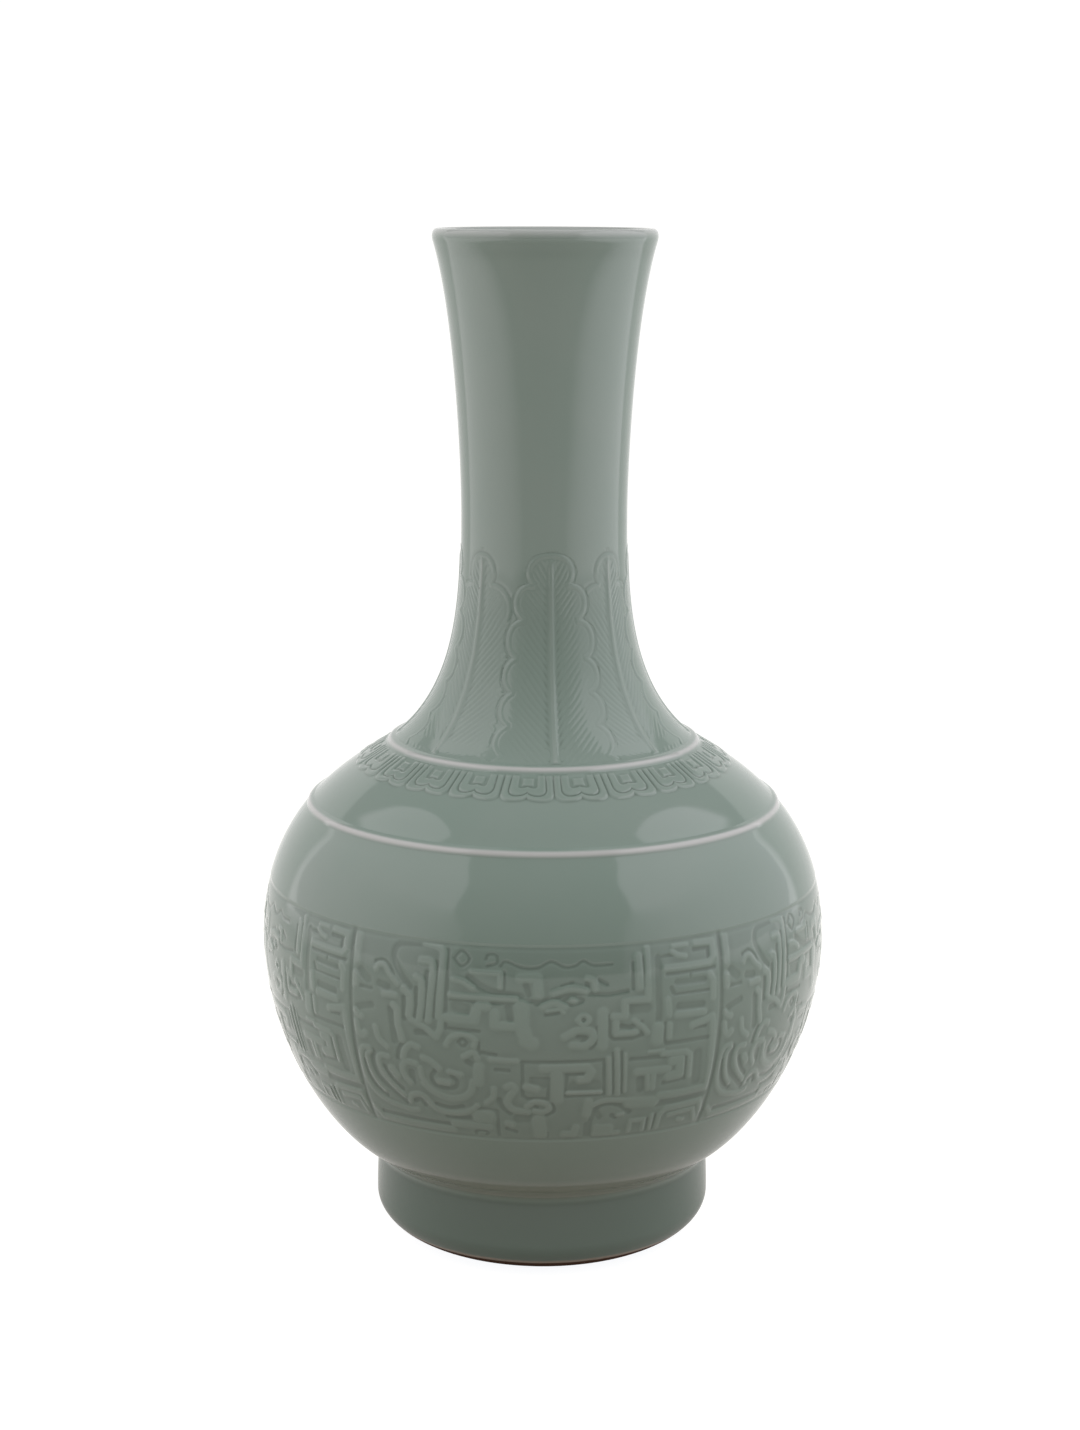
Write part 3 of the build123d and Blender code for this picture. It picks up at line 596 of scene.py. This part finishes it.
leaf_rows = rows(neck_rib_span[1], LEAF_TOP, LEAF_SPACING)[:, None]
leaf_radius = off_wall(leaf_rows, 0)[..., 0]
leaf_reach = leaf_edge(leaf_rows, LOBES) + LEAF_SKIRT / np.radians(1) / leaf_radius
for number, turn in enumerate(leaf_turns):
    before = (turn - leaf_turns[number - 1]) % 360
    after = (leaf_turns[(number + 1) % LEAF_COUNT] - turn) % 360
    behind = number % 2
    left, right = (leaf_reach - before, after - leaf_reach) if behind else (-leaf_reach, leaf_reach)
    off = left + (right - left) * np.linspace(0, 1, BEHIND_STEPS if behind else LEAF_STEPS)
    if behind:
        covered = [leaf_inside(off + before, leaf_rows, LOBES), leaf_inside(off - after, leaf_rows, LOBES)]
        rise = leaf_relief(off, leaf_rows, BEHIND_LOBES, BEHIND_RISE)
        rise = rise * soft(-np.maximum(*covered) - BEHIND_GAP, blur=1.4)
    else:
        rise = leaf_relief(off, leaf_rows, LOBES, LEAF_RISE)
    rise = rise * soft(along(leaf_rows) - along(neck_rib_span[1]) - LEAF_FOOT_MARGIN, blur=1.2)
    rise = rise * soft(LEAF_TOP - leaf_rows - LEAF_HEAD_MARGIN, blur=0.8)
    leaf = pad(turn + off, leaf_rows, rise, RIB_BED)
    leaf_depth = loop_depth(pooled(rise, passes=30, depth=0.28), leaf)
    node = f"plantain_leaf_{number + 1}"
    fired(f"glazed_{node}", node, leaf, leaf_depth, glaze)


# Band panels: five porcelain relief panels pressed in one mould and let into the belly flush with its wall,
# with a sunk line round each. The pattern is an archaic beast face in frets, plumes and scrolls.
PANEL_COUNT, FRONT_LEFT, FRONT_ANGLE = 5, -39.6, 75.8
PANEL_SPACING, PANEL_STEPS, CURVE_STEPS, STROKE_REACH = 0.55, 330, 8, 5
PANEL_GROUND, PANEL_STROKE, PANEL_GROOVE, GROUND_POOL_AND_PAINTED_SHADE = -0.19, 0.22, 0.20, 0.36
RAISED_WIDENING, SUNK_WIDENING = 1.6, 1.35
SIDE_LINE_WIDTH, SIDE_LINE_DEPTH = 1.3, 1.5
EDGE_LINE_INSET, EDGE_LINE_WIDTH, EDGE_LINE_DEPTH = 1.7, 1.1, 0.6
FLUSH_MARGIN, POOL_MARGIN = 0.8, 2.5
# Raised and sunk strokes: half width in millimetres, then degrees from the front and heights along it.
RAISED_FRETS = [
    (1.3, [(-38.2, 184), (-38.2, 170)]), (1.3, [(-38.5, 163), (-38.4, 159)]),
    (1.0, [(-24.5, 167.5), (-23.4, 166), (-23.2, 162), (-23.4, 154), (-23.9, 147.5)]),
    (1.1, [(-27, 161), (-25.8, 158.5), (-25.6, 154), (-26, 149)]),
    (1.0, [(-29.4, 152.5), (-28.6, 150.5), (-28.5, 143), (-27.7, 136)]),
    (0.9, [(-25.5, 146.8), (-22.8, 144), (-20.5, 140), (-19.6, 144), (-19.3, 150)]),
    (0.9, [(-31.5, 157), (-29, 157.3)]), (1.2, [(-36.5, 90.6), (-19.3, 90.6)]),
    (1.1, [(-18.7, 94.6), (-11, 94.6)]), (0.9, [(-38.4, 96), (-36.8, 91.5)]),
    (1.4, [(-18.3, 150), (-13, 150), (-12.5, 154.5)]), (1.3, [(-9, 154), (-9, 148), (-5.6, 148)]),
    (2.0, [(-4, 157.5), (-3.9, 148), (-3, 141), (-2.2, 140)]), (0.9, [(-17.5, 161), (-5, 160.8)]),
    (0.7, [(-13.5, 172.5), (-8, 172.5), (-8, 166)]), (1.3, [(-4.2, 170.6), (-1, 170.8), (-0.8, 163)]),
    (1.5, [(11.2, 154), (11.2, 138)]), (1.2, [(18.2, 178.5), (18.4, 165)]), (0.9, [(20, 184), (20, 158.6)]),
    (1.0, [(20, 158.6), (15.5, 159), (15.4, 151.6), (13.2, 151.8)]),
    (0.9, [(13.7, 149), (13.7, 143.3), (17.5, 143.4)]), (0.8, [(17.2, 149.2), (18.8, 146), (20, 142.5)]),
    (1.0, [(23.8, 171.8), (33.4, 171.3), (34.4, 174), (34.4, 180.6), (30.5, 181.4)]),
    (0.7, [(25.2, 179), (26.5, 177), (28, 176.2)]), (0.6, [(25.5, 181.3), (28.5, 181.3)]),
    (1.0, [(33.4, 166), (34.1, 163), (34, 154.6)]), (1.0, [(24, 157), (24.3, 150)]),
    (1.1, [(29.5, 143), (34, 145.4), (34.3, 142), (34.6, 130), (35, 118), (35.2, 108.8), (30, 108.4),
           (24, 108.8)]),
    (0.9, [(24.5, 145), (24.5, 139)]), (0.5, [(20.5, 132.7), (23.5, 132.7)]),
    (0.9, [(23.5, 130.8), (28.6, 130.2), (29.6, 128), (30, 117)]),
    (1.5, [(25.8, 126.5), (27.6, 126.5), (27.8, 119), (25.4, 118.6)]), (1.2, [(18.5, 123), (25, 122.7)]),
    (0.7, [(20.7, 121.5), (21.2, 113.5)]), (0.8, [(22, 120.5), (22.2, 113.5)]),
    (1.2, [(0, 127.3), (8.5, 127.3), (9.3, 125), (8.6, 121.4), (7.2, 121)]),
    (1.6, [(2.6, 125), (2.9, 111)]), (1.1, [(-3.2, 117.5), (-1.3, 116.5)]),
    (0.6, [(4.8, 114.3), (11.4, 114)]), (0.7, [(12.5, 131.5), (13.2, 112.8)]),
    (0.8, [(14.1, 135), (14.9, 112.5)]), (0.5, [(15.8, 133), (16.3, 113.5)]),
    (0.9, [(11.2, 95), (11, 90.7), (16, 90.2)]),
    (0.7, [(18.5, 90.5), (18.5, 96.5), (21.6, 96.3), (21.7, 90.3)]), (0.7, [(23.2, 98), (23.4, 88.5)]),
    (0.9, [(24.9, 89), (25, 97.6), (26.3, 100.7), (34.4, 101.4), (35.4, 95.5)]),
    (0.7, [(27.3, 96.6), (29.5, 97.2), (33.3, 97.6), (34.4, 91)]), (0.7, [(30, 93), (31.3, 92.3)]),
    (1.1, [(4.5, 91.3), (6.6, 91.3), (6.9, 95)]), (2.0, [(-0.8, 99), (-0.4, 91.5)]),
    (1.8, [(11.8, 93), (13.8, 93)]), (0.8, [(-24.5, 123), (-24.3, 118), (-23.2, 113.5)]),
    (1.0, [(26, 149.3), (32, 148.6)]), (1.3, [(8.9, 102.5), (9.1, 109)]), (1.8, [(22, 138.5), (22.2, 144)]),
    (1.7, [(17.5, 107), (23, 106)]), (1.5, [(-12.6, 119), (-12.3, 127)]), (2.2, [(-13, 100), (-11, 100.3)]),
    (1.4, [(-11.8, 157), (-10.6, 157)]),
]
RAISED_SCROLLS = [
    (0.9, [(-38.6, 146), (-37.8, 144), (-37, 143.5)]),
    (1.1, [(-38.7, 140), (-38.2, 136), (-37.2, 134.5), (-36.5, 135.5)]),
    (1.0, [(-23, 183.3), (-20.6, 182.8), (-19.3, 180.5), (-19.2, 176), (-19.5, 165), (-19.9, 150)]),
    (1.0, [(-23.5, 175.5), (-21.7, 175.3), (-21.1, 172), (-21.5, 160), (-22, 147.5)]),
    (0.8, [(-28.5, 163), (-30.3, 167), (-31.5, 170.3), (-32.8, 170.3), (-33.5, 168)]),
    (0.8, [(-36, 128.5), (-37.4, 128), (-38.3, 125), (-38.5, 120), (-38.3, 113), (-37.4, 107.5),
           (-36, 103.8), (-33.8, 101.2), (-31, 99.8), (-28.5, 98.9), (-26.6, 99.6)]),
    (0.7, [(-35.6, 127), (-36.7, 124.5), (-36.7, 120), (-36.1, 114.5), (-35, 110), (-33.8, 107)]),
    (0.8, [(-31.5, 126), (-33.3, 125.8), (-34, 122.5), (-33.3, 117), (-31.6, 111.5), (-29.2, 106.5)]),
    (1.2, [(-31, 119.8), (-30, 117)]),
    (0.9, [(-25.3, 124.8), (-27.3, 125.2), (-28.5, 121.5), (-28.2, 117.5), (-27, 114)]),
    (0.9, [(-24.5, 133.5), (-26, 134.3), (-27.3, 131.5), (-28, 127)]),
    (1.0, [(-20.6, 117.2), (-18.7, 117)]),
    (1.0, [(-24, 115), (-22, 111), (-19, 108.7), (-16, 110), (-14.3, 113.5), (-13.6, 119)]),
    (0.8, [(-18.3, 123), (-16, 122)]),
    (0.8, [(-28, 104), (-27.4, 107.3), (-25.6, 108.7), (-24.1, 107), (-23, 103.4), (-21.5, 101.2),
           (-19.5, 100.4), (-16.5, 101.2), (-14.3, 103.8), (-13.2, 106)]),
    (1.0, [(-7, 117.3), (-6, 118.2), (-5.5, 116), (-6.6, 112), (-7, 108.5), (-5.8, 105), (-3, 104)]),
    (1.0, [(-7.2, 97.2), (-6.3, 96.5)]), (0.8, [(-10, 131), (-5, 130.8)]),
    (0.9, [(5.4, 160.4), (5.8, 160.2)]), (1.0, [(0, 157.6), (2, 159.4), (4, 157.6)]),
    (1.0, [(2, 163.8), (5, 165.8), (8, 164.6)]), (0.8, [(8.3, 170.3), (9.5, 169), (9.8, 165)]),
    (0.6, [(0.8, 155.5), (3, 156.2), (3.8, 154.8)]),
    (0.7, [(6.4, 151), (7.5, 153.4), (8.6, 151), (7.5, 148.6), (6.4, 151)]),
    (1.1, [(4, 143), (6.5, 146), (8.8, 145.5), (9.5, 142), (8, 138.6), (5.5, 138.8)]),
    (0.6, [(15.4, 100.6), (16.5, 100.8)]), (0.8, [(9.5, 107), (13, 109.3), (19, 107.8)]),
    (0.8, [(-3.2, 107), (-1.5, 109.6), (0.6, 108.6), (1.3, 106), (0, 104), (-1.6, 104.6)]),
    (0.8, [(-18.6, 136.5), (-17.4, 140.8), (-15, 142.6), (-12.9, 140.4), (-13.1, 137)]),
    (0.8, [(-15.2, 131.5), (-13.2, 134), (-12.4, 130.8)]),
    (0.9, [(-23.6, 128.6), (-21.8, 127), (-20.4, 124)]), (0.8, [(-11.2, 108), (-9.8, 111.5), (-9.6, 116)]),
    (0.9, [(-33.8, 140), (-33.2, 134.5), (-31.4, 131)]), (0.8, [(-17, 168.5), (-15, 167.6), (-13.2, 165)]),
]
SUNK_FRETS = [
    (0.8, [(-18.3, 181), (-18.3, 165), (-18.6, 145)]), (0.9, [(-20.3, 175), (-20.7, 150)]),
    (0.9, [(-22.3, 170), (-22.7, 149)]), (0.9, [(-24.5, 162), (-24.6, 148)]),
    (0.9, [(-27.1, 157), (-27.1, 147)]), (1.2, [(-24.5, 141), (-22.5, 141.5)]),
    (1.5, [(-30, 150), (-29.7, 142), (-29.5, 135)]), (1.9, [(-37, 165.5), (-35.4, 162.5)]),
    (0.8, [(-38, 158.5), (-34.5, 158.5)]), (1.3, [(-38, 148), (-34.5, 150.5)]),
    (0.9, [(-36, 94.3), (-20, 93.8)]), (0.8, [(-9.2, 87.5), (-9.3, 104), (-14, 104.6)]),
    (1.5, [(-32.6, 161.5), (-30.8, 160.8)]), (2.1, [(-16.4, 156), (-14.4, 155)]),
    (1.5, [(-6.4, 157), (-6, 152)]), (0.6, [(-17.5, 158.7), (-5, 159)]), (0.6, [(-18, 145), (-12, 144.6)]),
    (0.6, [(-7.3, 173), (-7.3, 164)]), (0.7, [(-12, 134.5), (-9, 133.5)]),
    (0.7, [(-9, 126), (-6.5, 125.8)]), (1.1, [(-14.5, 129), (-13, 127.5)]),
    (1.1, [(-3.2, 167.5), (-2.7, 163)]), (0.8, [(8.2, 168), (8.3, 165)]),
    (0.7, [(10.5, 169.3), (12, 167.3)]), (1.1, [(7.4, 151), (7.6, 151)]),
    (0.8, [(17.2, 176), (17.1, 164.5)]), (0.6, [(19.2, 178), (19.2, 165)]),
    (2.0, [(16.9, 155), (19.8, 154.5)]),
    (0.7, [(12.3, 152), (12.4, 143), (13.5, 140.8), (17, 140.5), (19, 141.8), (18.7, 148)]),
    (0.8, [(14.7, 147), (16.5, 146), (17.6, 147.5)]), (1.3, [(22.2, 177), (22.2, 148)]),
    (0.6, [(22.2, 177), (26, 177.7)]), (0.7, [(24, 169.2), (34.5, 168.8)]),
    (0.8, [(30, 178.5), (33.2, 178.5), (33.2, 174.5)]), (0.8, [(24.8, 162.5), (25.3, 160)]),
    (0.5, [(25.5, 159.3), (33, 158.8)]), (0.5, [(29, 168), (29, 164)]), (0.8, [(24, 136), (33.4, 135.4)]),
    (0.6, [(30, 141.5), (32.5, 141.5)]), (0.6, [(23.5, 146), (23.8, 137)]),
    (0.9, [(28.9, 127), (29.2, 116.5), (24.5, 115.5)]), (1.6, [(19.3, 119), (19.5, 114)]),
    (0.8, [(17, 130), (24, 129.5)]), (2.0, [(31.4, 128), (32, 114)]),
    (0.7, [(-4, 130.3), (9, 130.5), (11.6, 130.8), (11.8, 128), (12, 113), (4.5, 112.6), (4.6, 124),
           (7.5, 124)]),
    (0.7, [(-3.9, 129), (-3.9, 113), (-3, 111.3), (1, 111.2), (1.2, 122), (-2.3, 122)]),
    (0.5, [(13.4, 134), (14, 113)]), (0.6, [(15, 134), (15.7, 113)]), (0.9, [(14.2, 100.6), (15, 99.6)]),
    (0.7, [(22.4, 96), (22.7, 89)]), (0.6, [(24.1, 98), (24.1, 88.5)]), (1.3, [(24, 104.3), (35, 105)]),
    (0.6, [(1, 88.3), (1, 92)]), (2.0, [(-1.6, 120.5), (0.2, 119.5)]), (2.4, [(6, 117.6), (10.4, 117.8)]),
    (1.6, [(9.4, 89.5), (9.3, 96)]), (0.6, [(-12.2, 139), (-12.1, 133.5)]),
    (1.2, [(14.6, 133), (15.2, 114)]), (1.4, [(26.5, 153.5), (31.5, 152.6)]),
    (1.2, [(26, 164.8), (32, 164.2)]),
]
SUNK_SCROLLS = [
    (1.2, [(-22.5, 183), (-25.5, 182.3), (-28.5, 181.2), (-29.6, 177), (-29, 172), (-27.4, 167),
           (-25.8, 162.5)]),
    (0.6, [(-33.6, 171.5), (-31.8, 172.5), (-30, 169.5), (-29, 164)]),
    (0.8, [(-37.5, 121), (-37.2, 115), (-36, 109), (-33.5, 104.5)]),
    (1.0, [(-35, 127), (-35.4, 121), (-34.5, 114), (-31.5, 107.5), (-29, 103)]),
    (1.0, [(-32.6, 120), (-31.2, 114), (-29.3, 110)]), (0.9, [(-27.6, 135), (-28.7, 131), (-29.2, 126.5)]),
    (1.3, [(-26.5, 120), (-26.5, 115)]),
    (0.9, [(-21.3, 122.5), (-22.2, 119), (-21.5, 115.3), (-19.5, 114), (-17.5, 115), (-16.9, 118),
           (-17.8, 121)]),
    (0.9, [(-26.8, 104.5), (-25.5, 105.5), (-24.6, 103)]),
    (0.8, [(-22, 104.5), (-19, 103.5), (-16.3, 105)]), (0.9, [(-20, 98.5), (-16, 98.7), (-14, 99.5)]),
    (0.6, [(-14.2, 88.7), (-14.1, 91.3), (-12.7, 92.2), (-11.6, 91), (-12, 89.7)]),
    (1.3, [(-14, 170), (-12, 166.7), (-9, 163.7), (-6, 162.6), (-4, 162.2)]),
    (0.6, [(-17, 178), (-15.5, 181.4), (-14, 178), (-15.5, 174.6), (-17, 178)]),
    (0.6, [(-10.5, 175.5), (-8.7, 177), (-8.9, 180.3), (-10.3, 180.6), (-10.8, 178.5)]),
    (0.6, [(-8, 175.8), (-7, 177.7), (-4, 175.3), (-1, 175.3), (1.5, 178), (4, 175.6), (6, 176),
           (7.6, 178), (9.5, 176), (13, 176)]),
    (1.1, [(-8.6, 110), (-8, 106), (-6.5, 103)]), (2.1, [(-4.9, 100.3), (-3, 100.6)]),
    (0.8, [(-7.5, 94), (-5.5, 92.5)]),
    (0.6, [(-16.1, 138.5), (-15.3, 140.3), (-14.5, 138.5), (-15.3, 136.7), (-16.1, 138.5)]),
    (0.7, [(-4, 161.2), (-1, 159.6), (1, 160.4), (4, 162.6), (8, 163.3), (12, 162.5), (16, 163.5)]),
    (1.2, [(-1.2, 159.5), (0.8, 160)]),
    (0.6, [(3.4, 160), (5, 161.8), (7, 161), (7.4, 160), (5.5, 158.4), (3.4, 160)]),
    (0.6, [(3.5, 167), (5.5, 168.5)]), (0.6, [(0.5, 153.7), (3, 154.8)]),
    (0.8, [(6.5, 143), (8, 142), (7.3, 140.3)]), (0.7, [(10.2, 147), (10.6, 141.5), (9, 137)]),
    (1.0, [(10.3, 88), (9.7, 95), (10.2, 101), (11.3, 106.3), (13.5, 107.5), (16, 105.5), (17.9, 101.8)]),
    (1.3, [(10.8, 103), (11.6, 100.5)]), (0.7, [(-1.4, 106.8), (-1.2, 106.6)]),
    (0.7, [(2, 108.5), (2.2, 104.5), (0.8, 102.5)]),
]


def bent(points):
    """Smooth curve through points: between each two, the cubic with ends along their neighbours' chords."""
    p = np.array(points, float)
    p = np.vstack([2 * p[0] - p[1], p, 2 * p[-1] - p[-2]])
    t = np.linspace(0, 1, CURVE_STEPS)[:, None, None]
    a, b, c, d = p[:-3], p[1:-2], p[2:-1], p[3:]
    square, cube = 2 * a - 5 * b + 4 * c - d, 3 * b - a - 3 * c + d
    curve = 0.5 * (2 * b + (c - a) * t + square * t**2 + cube * t**3)
    return curve.transpose(1, 0, 2).reshape(-1, 2)


def strokes(lines, widen, across, up):
    """Field on a grid that is 1 along strokes and falls off as 1 / (1 + (distance / half width)^6) beside
    them; every half width is taken the same number of times wider."""
    field = np.zeros((len(up), len(across)))
    for half, line in lines:
        half = widen * half
        line = np.array(line, float) * (np.radians(1) * BELLY_RADIUS, 1)
        reach = STROKE_REACH * half
        i = slice(*np.searchsorted(up, [line[:, 1].min() - reach, line[:, 1].max() + reach]))
        j = slice(*np.searchsorted(across, [line[:, 0].min() - reach, line[:, 0].max() + reach]))
        x, y = across[None, j, None], up[i, None, None]
        start, run = line[:-1], np.diff(line, axis=0)
        share = (x - start[:, 0]) * run[:, 0] + (y - start[:, 1]) * run[:, 1]
        share = np.clip(share / np.maximum((run**2).sum(1), 1e-9), 0, 1)
        apart = np.hypot(x - start[:, 0] - share * run[:, 0], y - start[:, 1] - share * run[:, 1]).min(2)
        field[i, j] = np.maximum(field[i, j], 1 / (1 + (apart / half) ** 6))
    return field


panel_rows = rows(BAND_BOTTOM, BAND_TOP, PANEL_SPACING)
panel_steps = np.linspace(0, 1, PANEL_STEPS)
panel_across = np.radians(FRONT_LEFT + FRONT_ANGLE * panel_steps) * BELLY_RADIUS
raised_lines = RAISED_FRETS + [(half, bent(points)) for half, points in RAISED_SCROLLS]
sunk_lines = SUNK_FRETS + [(half, bent(points)) for half, points in SUNK_SCROLLS]
raised = strokes(raised_lines, RAISED_WIDENING, panel_across, panel_rows)
sunk = strokes(sunk_lines, SUNK_WIDENING, panel_across, panel_rows)
from_side = np.minimum(panel_across - panel_across[0], panel_across[-1] - panel_across)[None, :]
from_edge = np.minimum(panel_rows - BAND_BOTTOM, BAND_TOP - panel_rows)[:, None]
side_line = 1 / (1 + (from_side / SIDE_LINE_WIDTH) ** 4)
edge_line = 1 / (1 + ((from_edge - EDGE_LINE_INSET) / EDGE_LINE_WIDTH) ** 4)
panel_rise = PANEL_GROUND + PANEL_STROKE * raised - PANEL_GROOVE * sunk * (1 - raised)
panel_rise = panel_rise * (1 - edge_line) + (PANEL_GROUND - EDGE_LINE_DEPTH * PANEL_GROOVE) * edge_line
panel_rise = panel_rise * (1 - side_line) + (PANEL_GROUND - SIDE_LINE_DEPTH * PANEL_GROOVE) * side_line
panel_rise = panel_rise * soft(from_edge - FLUSH_MARGIN, blur=1.6)
panel_pool_and_painted_shade = pooled(panel_rise, passes=40, depth=0.36)
# The sunk ground is darker: partly glaze pooled there, partly painted shade that dims the band as a whole.
panel_pool_and_painted_shade = panel_pool_and_painted_shade + GROUND_POOL_AND_PAINTED_SHADE * (1 - raised) * soft(from_edge - POOL_MARGIN, blur=4.0)
other_angle = (360 - FRONT_ANGLE) / (PANEL_COUNT - 1)
for number in range(PANEL_COUNT):
    left = FRONT_LEFT + (FRONT_ANGLE + other_angle * (number - 1) if number else 0)
    angle = other_angle if number else FRONT_ANGLE
    panel = pad(left + angle * panel_steps[None, :], panel_rows[:, None], panel_rise, BAND_DEPTH)
    node = f"band_panel_{number + 1}"
    fired(f"glazed_{node}", node, panel, loop_depth(panel_pool_and_painted_shade, panel), glaze)


# Backdrop: a plain pale sweep of paper that lies under the vase and curves up behind it. It looks white,
# keeps the soft shadow of the vase and throws some of its own warm light back.
SWEEP_HALF, SWEEP_BACK, SWEEP_BEND, SWEEP_TOP = 4.0, 2.6, 0.8, 2.2
PAPER, PAPER_WHITE = (0.27, 0.245, 0.172, 1), (0.93, 0.94, 0.96, 1)
SHADE_REACH, BEND_STEPS = 0.3, 25
BLACK = (0, 0, 0, 1)
sweep_line = np.vstack([
    [(-SWEEP_HALF, 0)],
    ellipse((SWEEP_BACK - SWEEP_BEND, SWEEP_BEND), (SWEEP_BEND, SWEEP_BEND), -90, 0, BEND_STEPS),
    [(SWEEP_BACK, SWEEP_TOP)],
])
sweep_points = np.vstack([np.insert(sweep_line, 0, side * SWEEP_HALF, 1) for side in (-1, 1)])
count = len(sweep_line)
strip = np.arange(count - 1)
sweep_mesh = bpy.data.meshes.new("backdrop")
sweep_faces = np.stack([strip, strip + count, strip + count + 1, strip + 1], -1)
sweep_mesh.from_pydata(sweep_points.tolist(), [], sweep_faces.tolist())
sweep_mesh.shade_smooth()
backdrop = placed("backdrop", sweep_mesh)
paper = bpy.data.materials.new("pale_paper")
tree = blank(paper)
rays = ("Camera", "Glossy", "Transmission")
camera_ray, mirrored, through = (tree.node("LightPath", {}, {}, f"Is {kind} Ray") for kind in rays)
seen = tree.math("MAXIMUM", tree.math("MAXIMUM", camera_ray, mirrored), through)
# Painted shadow: in glossy and transmission rays, ambient occlusion darkens the paper's white near the vase,
# so the glaze mirrors a shadow round its foot.
painted_shade_in_reflections = tree.node("AmbientOcclusion", {"samples": 4}, {"Distance": SHADE_REACH}, "AO")
white = (seen * tree.math("MAXIMUM", camera_ray, painted_shade_in_reflections)).mix(BLACK, PAPER_WHITE)
shade = tree.node("BsdfDiffuse", {}, {"Color": PAPER})
light = tree.node("Emission", {}, {"Color": white, "Strength": 1.0})
tree.node("OutputMaterial", {}, {"Surface": tree.node("AddShader", {}, {0: shade, 1: light})})
sweep_mesh.materials.append(paper)


# Studio: a dim room with a paler ceiling, and a large panel of soft white light that stands upright at
# either side of the vase. The glaze mirrors both panels on the shoulder and down the neck.
FLOOR_GREY, CEILING_GREY = (0.17, 0.17, 0.17, 1), (0.60, 0.60, 0.60, 1)
LAMP_SIDE, LAMP_FRONT, LAMP_BACK, LAMP_FOOT, LAMP_TOP = 0.9, -2.2, 0.62, 0.05, 1.98
LAMP_MIDDLE, LAMP_CORNER, TOP_BLUR = -0.35, 0.92, 0.06
BACK_BLUR, BACK_DIMMING, DIM_START, DIM_END = 0.12, 0.24, -0.5, 0.5
FOOT_BLUR = 0.18
LOW_END, HIGH_START, LOW_FULL, HIGH_INSET, HIGH_SHARPENING = 0.55, 1.0, 0.2, 1.0, 1.3
LEFT_RADIANCE, RIGHT_RADIANCE = 1.15, 1.32
LEFT_TINT, RIGHT_TINT = (1.0, 0.93, 0.98, 1), (1.0, 0.955, 1.03, 1)
world = bpy.data.worlds.new("studio")
bpy.context.scene.world = world
tree = blank(world)
upward = tree.node("SeparateXYZ", {}, {0: tree.node("TexCoord", {}, {}, "Generated")}, "Z")
grey = (0.5 + 0.5 * upward).mix(FLOOR_GREY, CEILING_GREY)
room = tree.node("Background", {}, {"Color": grey, "Strength": 1.0})
tree.node("OutputWorld", {}, {"Surface": room})


def light_panel(name, side, radiance, tint):
    """Upright area lamp beside the vase, which faces it. Towards the front its light fades out over a long
    way below and ends in a crisp edge above. The back edge is crisp and a little dimmer below, the foot is
    soft, and the top falls off from the middle with the fourth power. The power is pi times the area and
    the radiance."""
    width, height = LAMP_BACK - LAMP_FRONT, LAMP_TOP - LAMP_FOOT
    lamp = bpy.data.lights.new(name, "AREA")
    lamp.shape, lamp.size, lamp.size_y = "RECTANGLE", width, height
    lamp.energy = radiance * np.pi * width * height
    tree = blank(lamp)
    spot = tree.node("NewGeometry", {}, {}, "Position")
    depth, upward = (tree.node("SeparateXYZ", {}, {0: spot}, axis) for axis in "YZ")
    high = upward.step(LOW_END, HIGH_START)
    front = depth.step(LAMP_FRONT + HIGH_INSET * high, LOW_FULL - HIGH_SHARPENING * high)
    squared = (depth - LAMP_MIDDLE) * (depth - LAMP_MIDDLE)
    arch = (upward + LAMP_CORNER * squared * squared).step(LAMP_TOP, LAMP_TOP - TOP_BLUR)
    back = depth.step(LAMP_BACK, LAMP_BACK - BACK_BLUR)
    back = back * (1 - BACK_DIMMING * depth.step(DIM_START, DIM_END) * (1 - high))
    shape = front * back * arch * upward.step(0.0, FOOT_BLUR)
    glow = tree.node("Emission", {}, {"Color": shape.mix(BLACK, tint), "Strength": 1.0})
    tree.node("OutputLight", {}, {"Surface": glow})
    panel = placed(name, lamp)
    panel.location = (side * LAMP_SIDE, (LAMP_FRONT + LAMP_BACK) / 2, (LAMP_TOP + LAMP_FOOT) / 2)
    panel.rotation_euler = Vector((-side, 0, 0)).to_track_quat("-Z", "Y").to_euler()
    panel.visible_camera = False


light_panel("left_panel", -1, LEFT_RADIANCE, LEFT_TINT)
light_panel("right_panel", 1, RIGHT_RADIANCE, RIGHT_TINT)


# Camera: at the height and distance from which the photograph was taken, a little above the mouth, and
# tipped down on to the vase.
FOCAL_LENGTH, SENSOR = 64.9, 36.0
EYE = (-0.0018, -1.250, 0.5191)
TIP, ROLL, PAN = 0.202, -0.0031, 0.0006
lens = bpy.data.cameras.new("camera")
lens.lens, lens.sensor_width = FOCAL_LENGTH, SENSOR
camera = placed("camera", lens)
camera.location = EYE
camera.rotation_euler = (np.pi / 2 - TIP, ROLL, PAN)
bpy.context.scene.camera = camera
bpy.context.scene.view_settings.view_transform = "Standard"
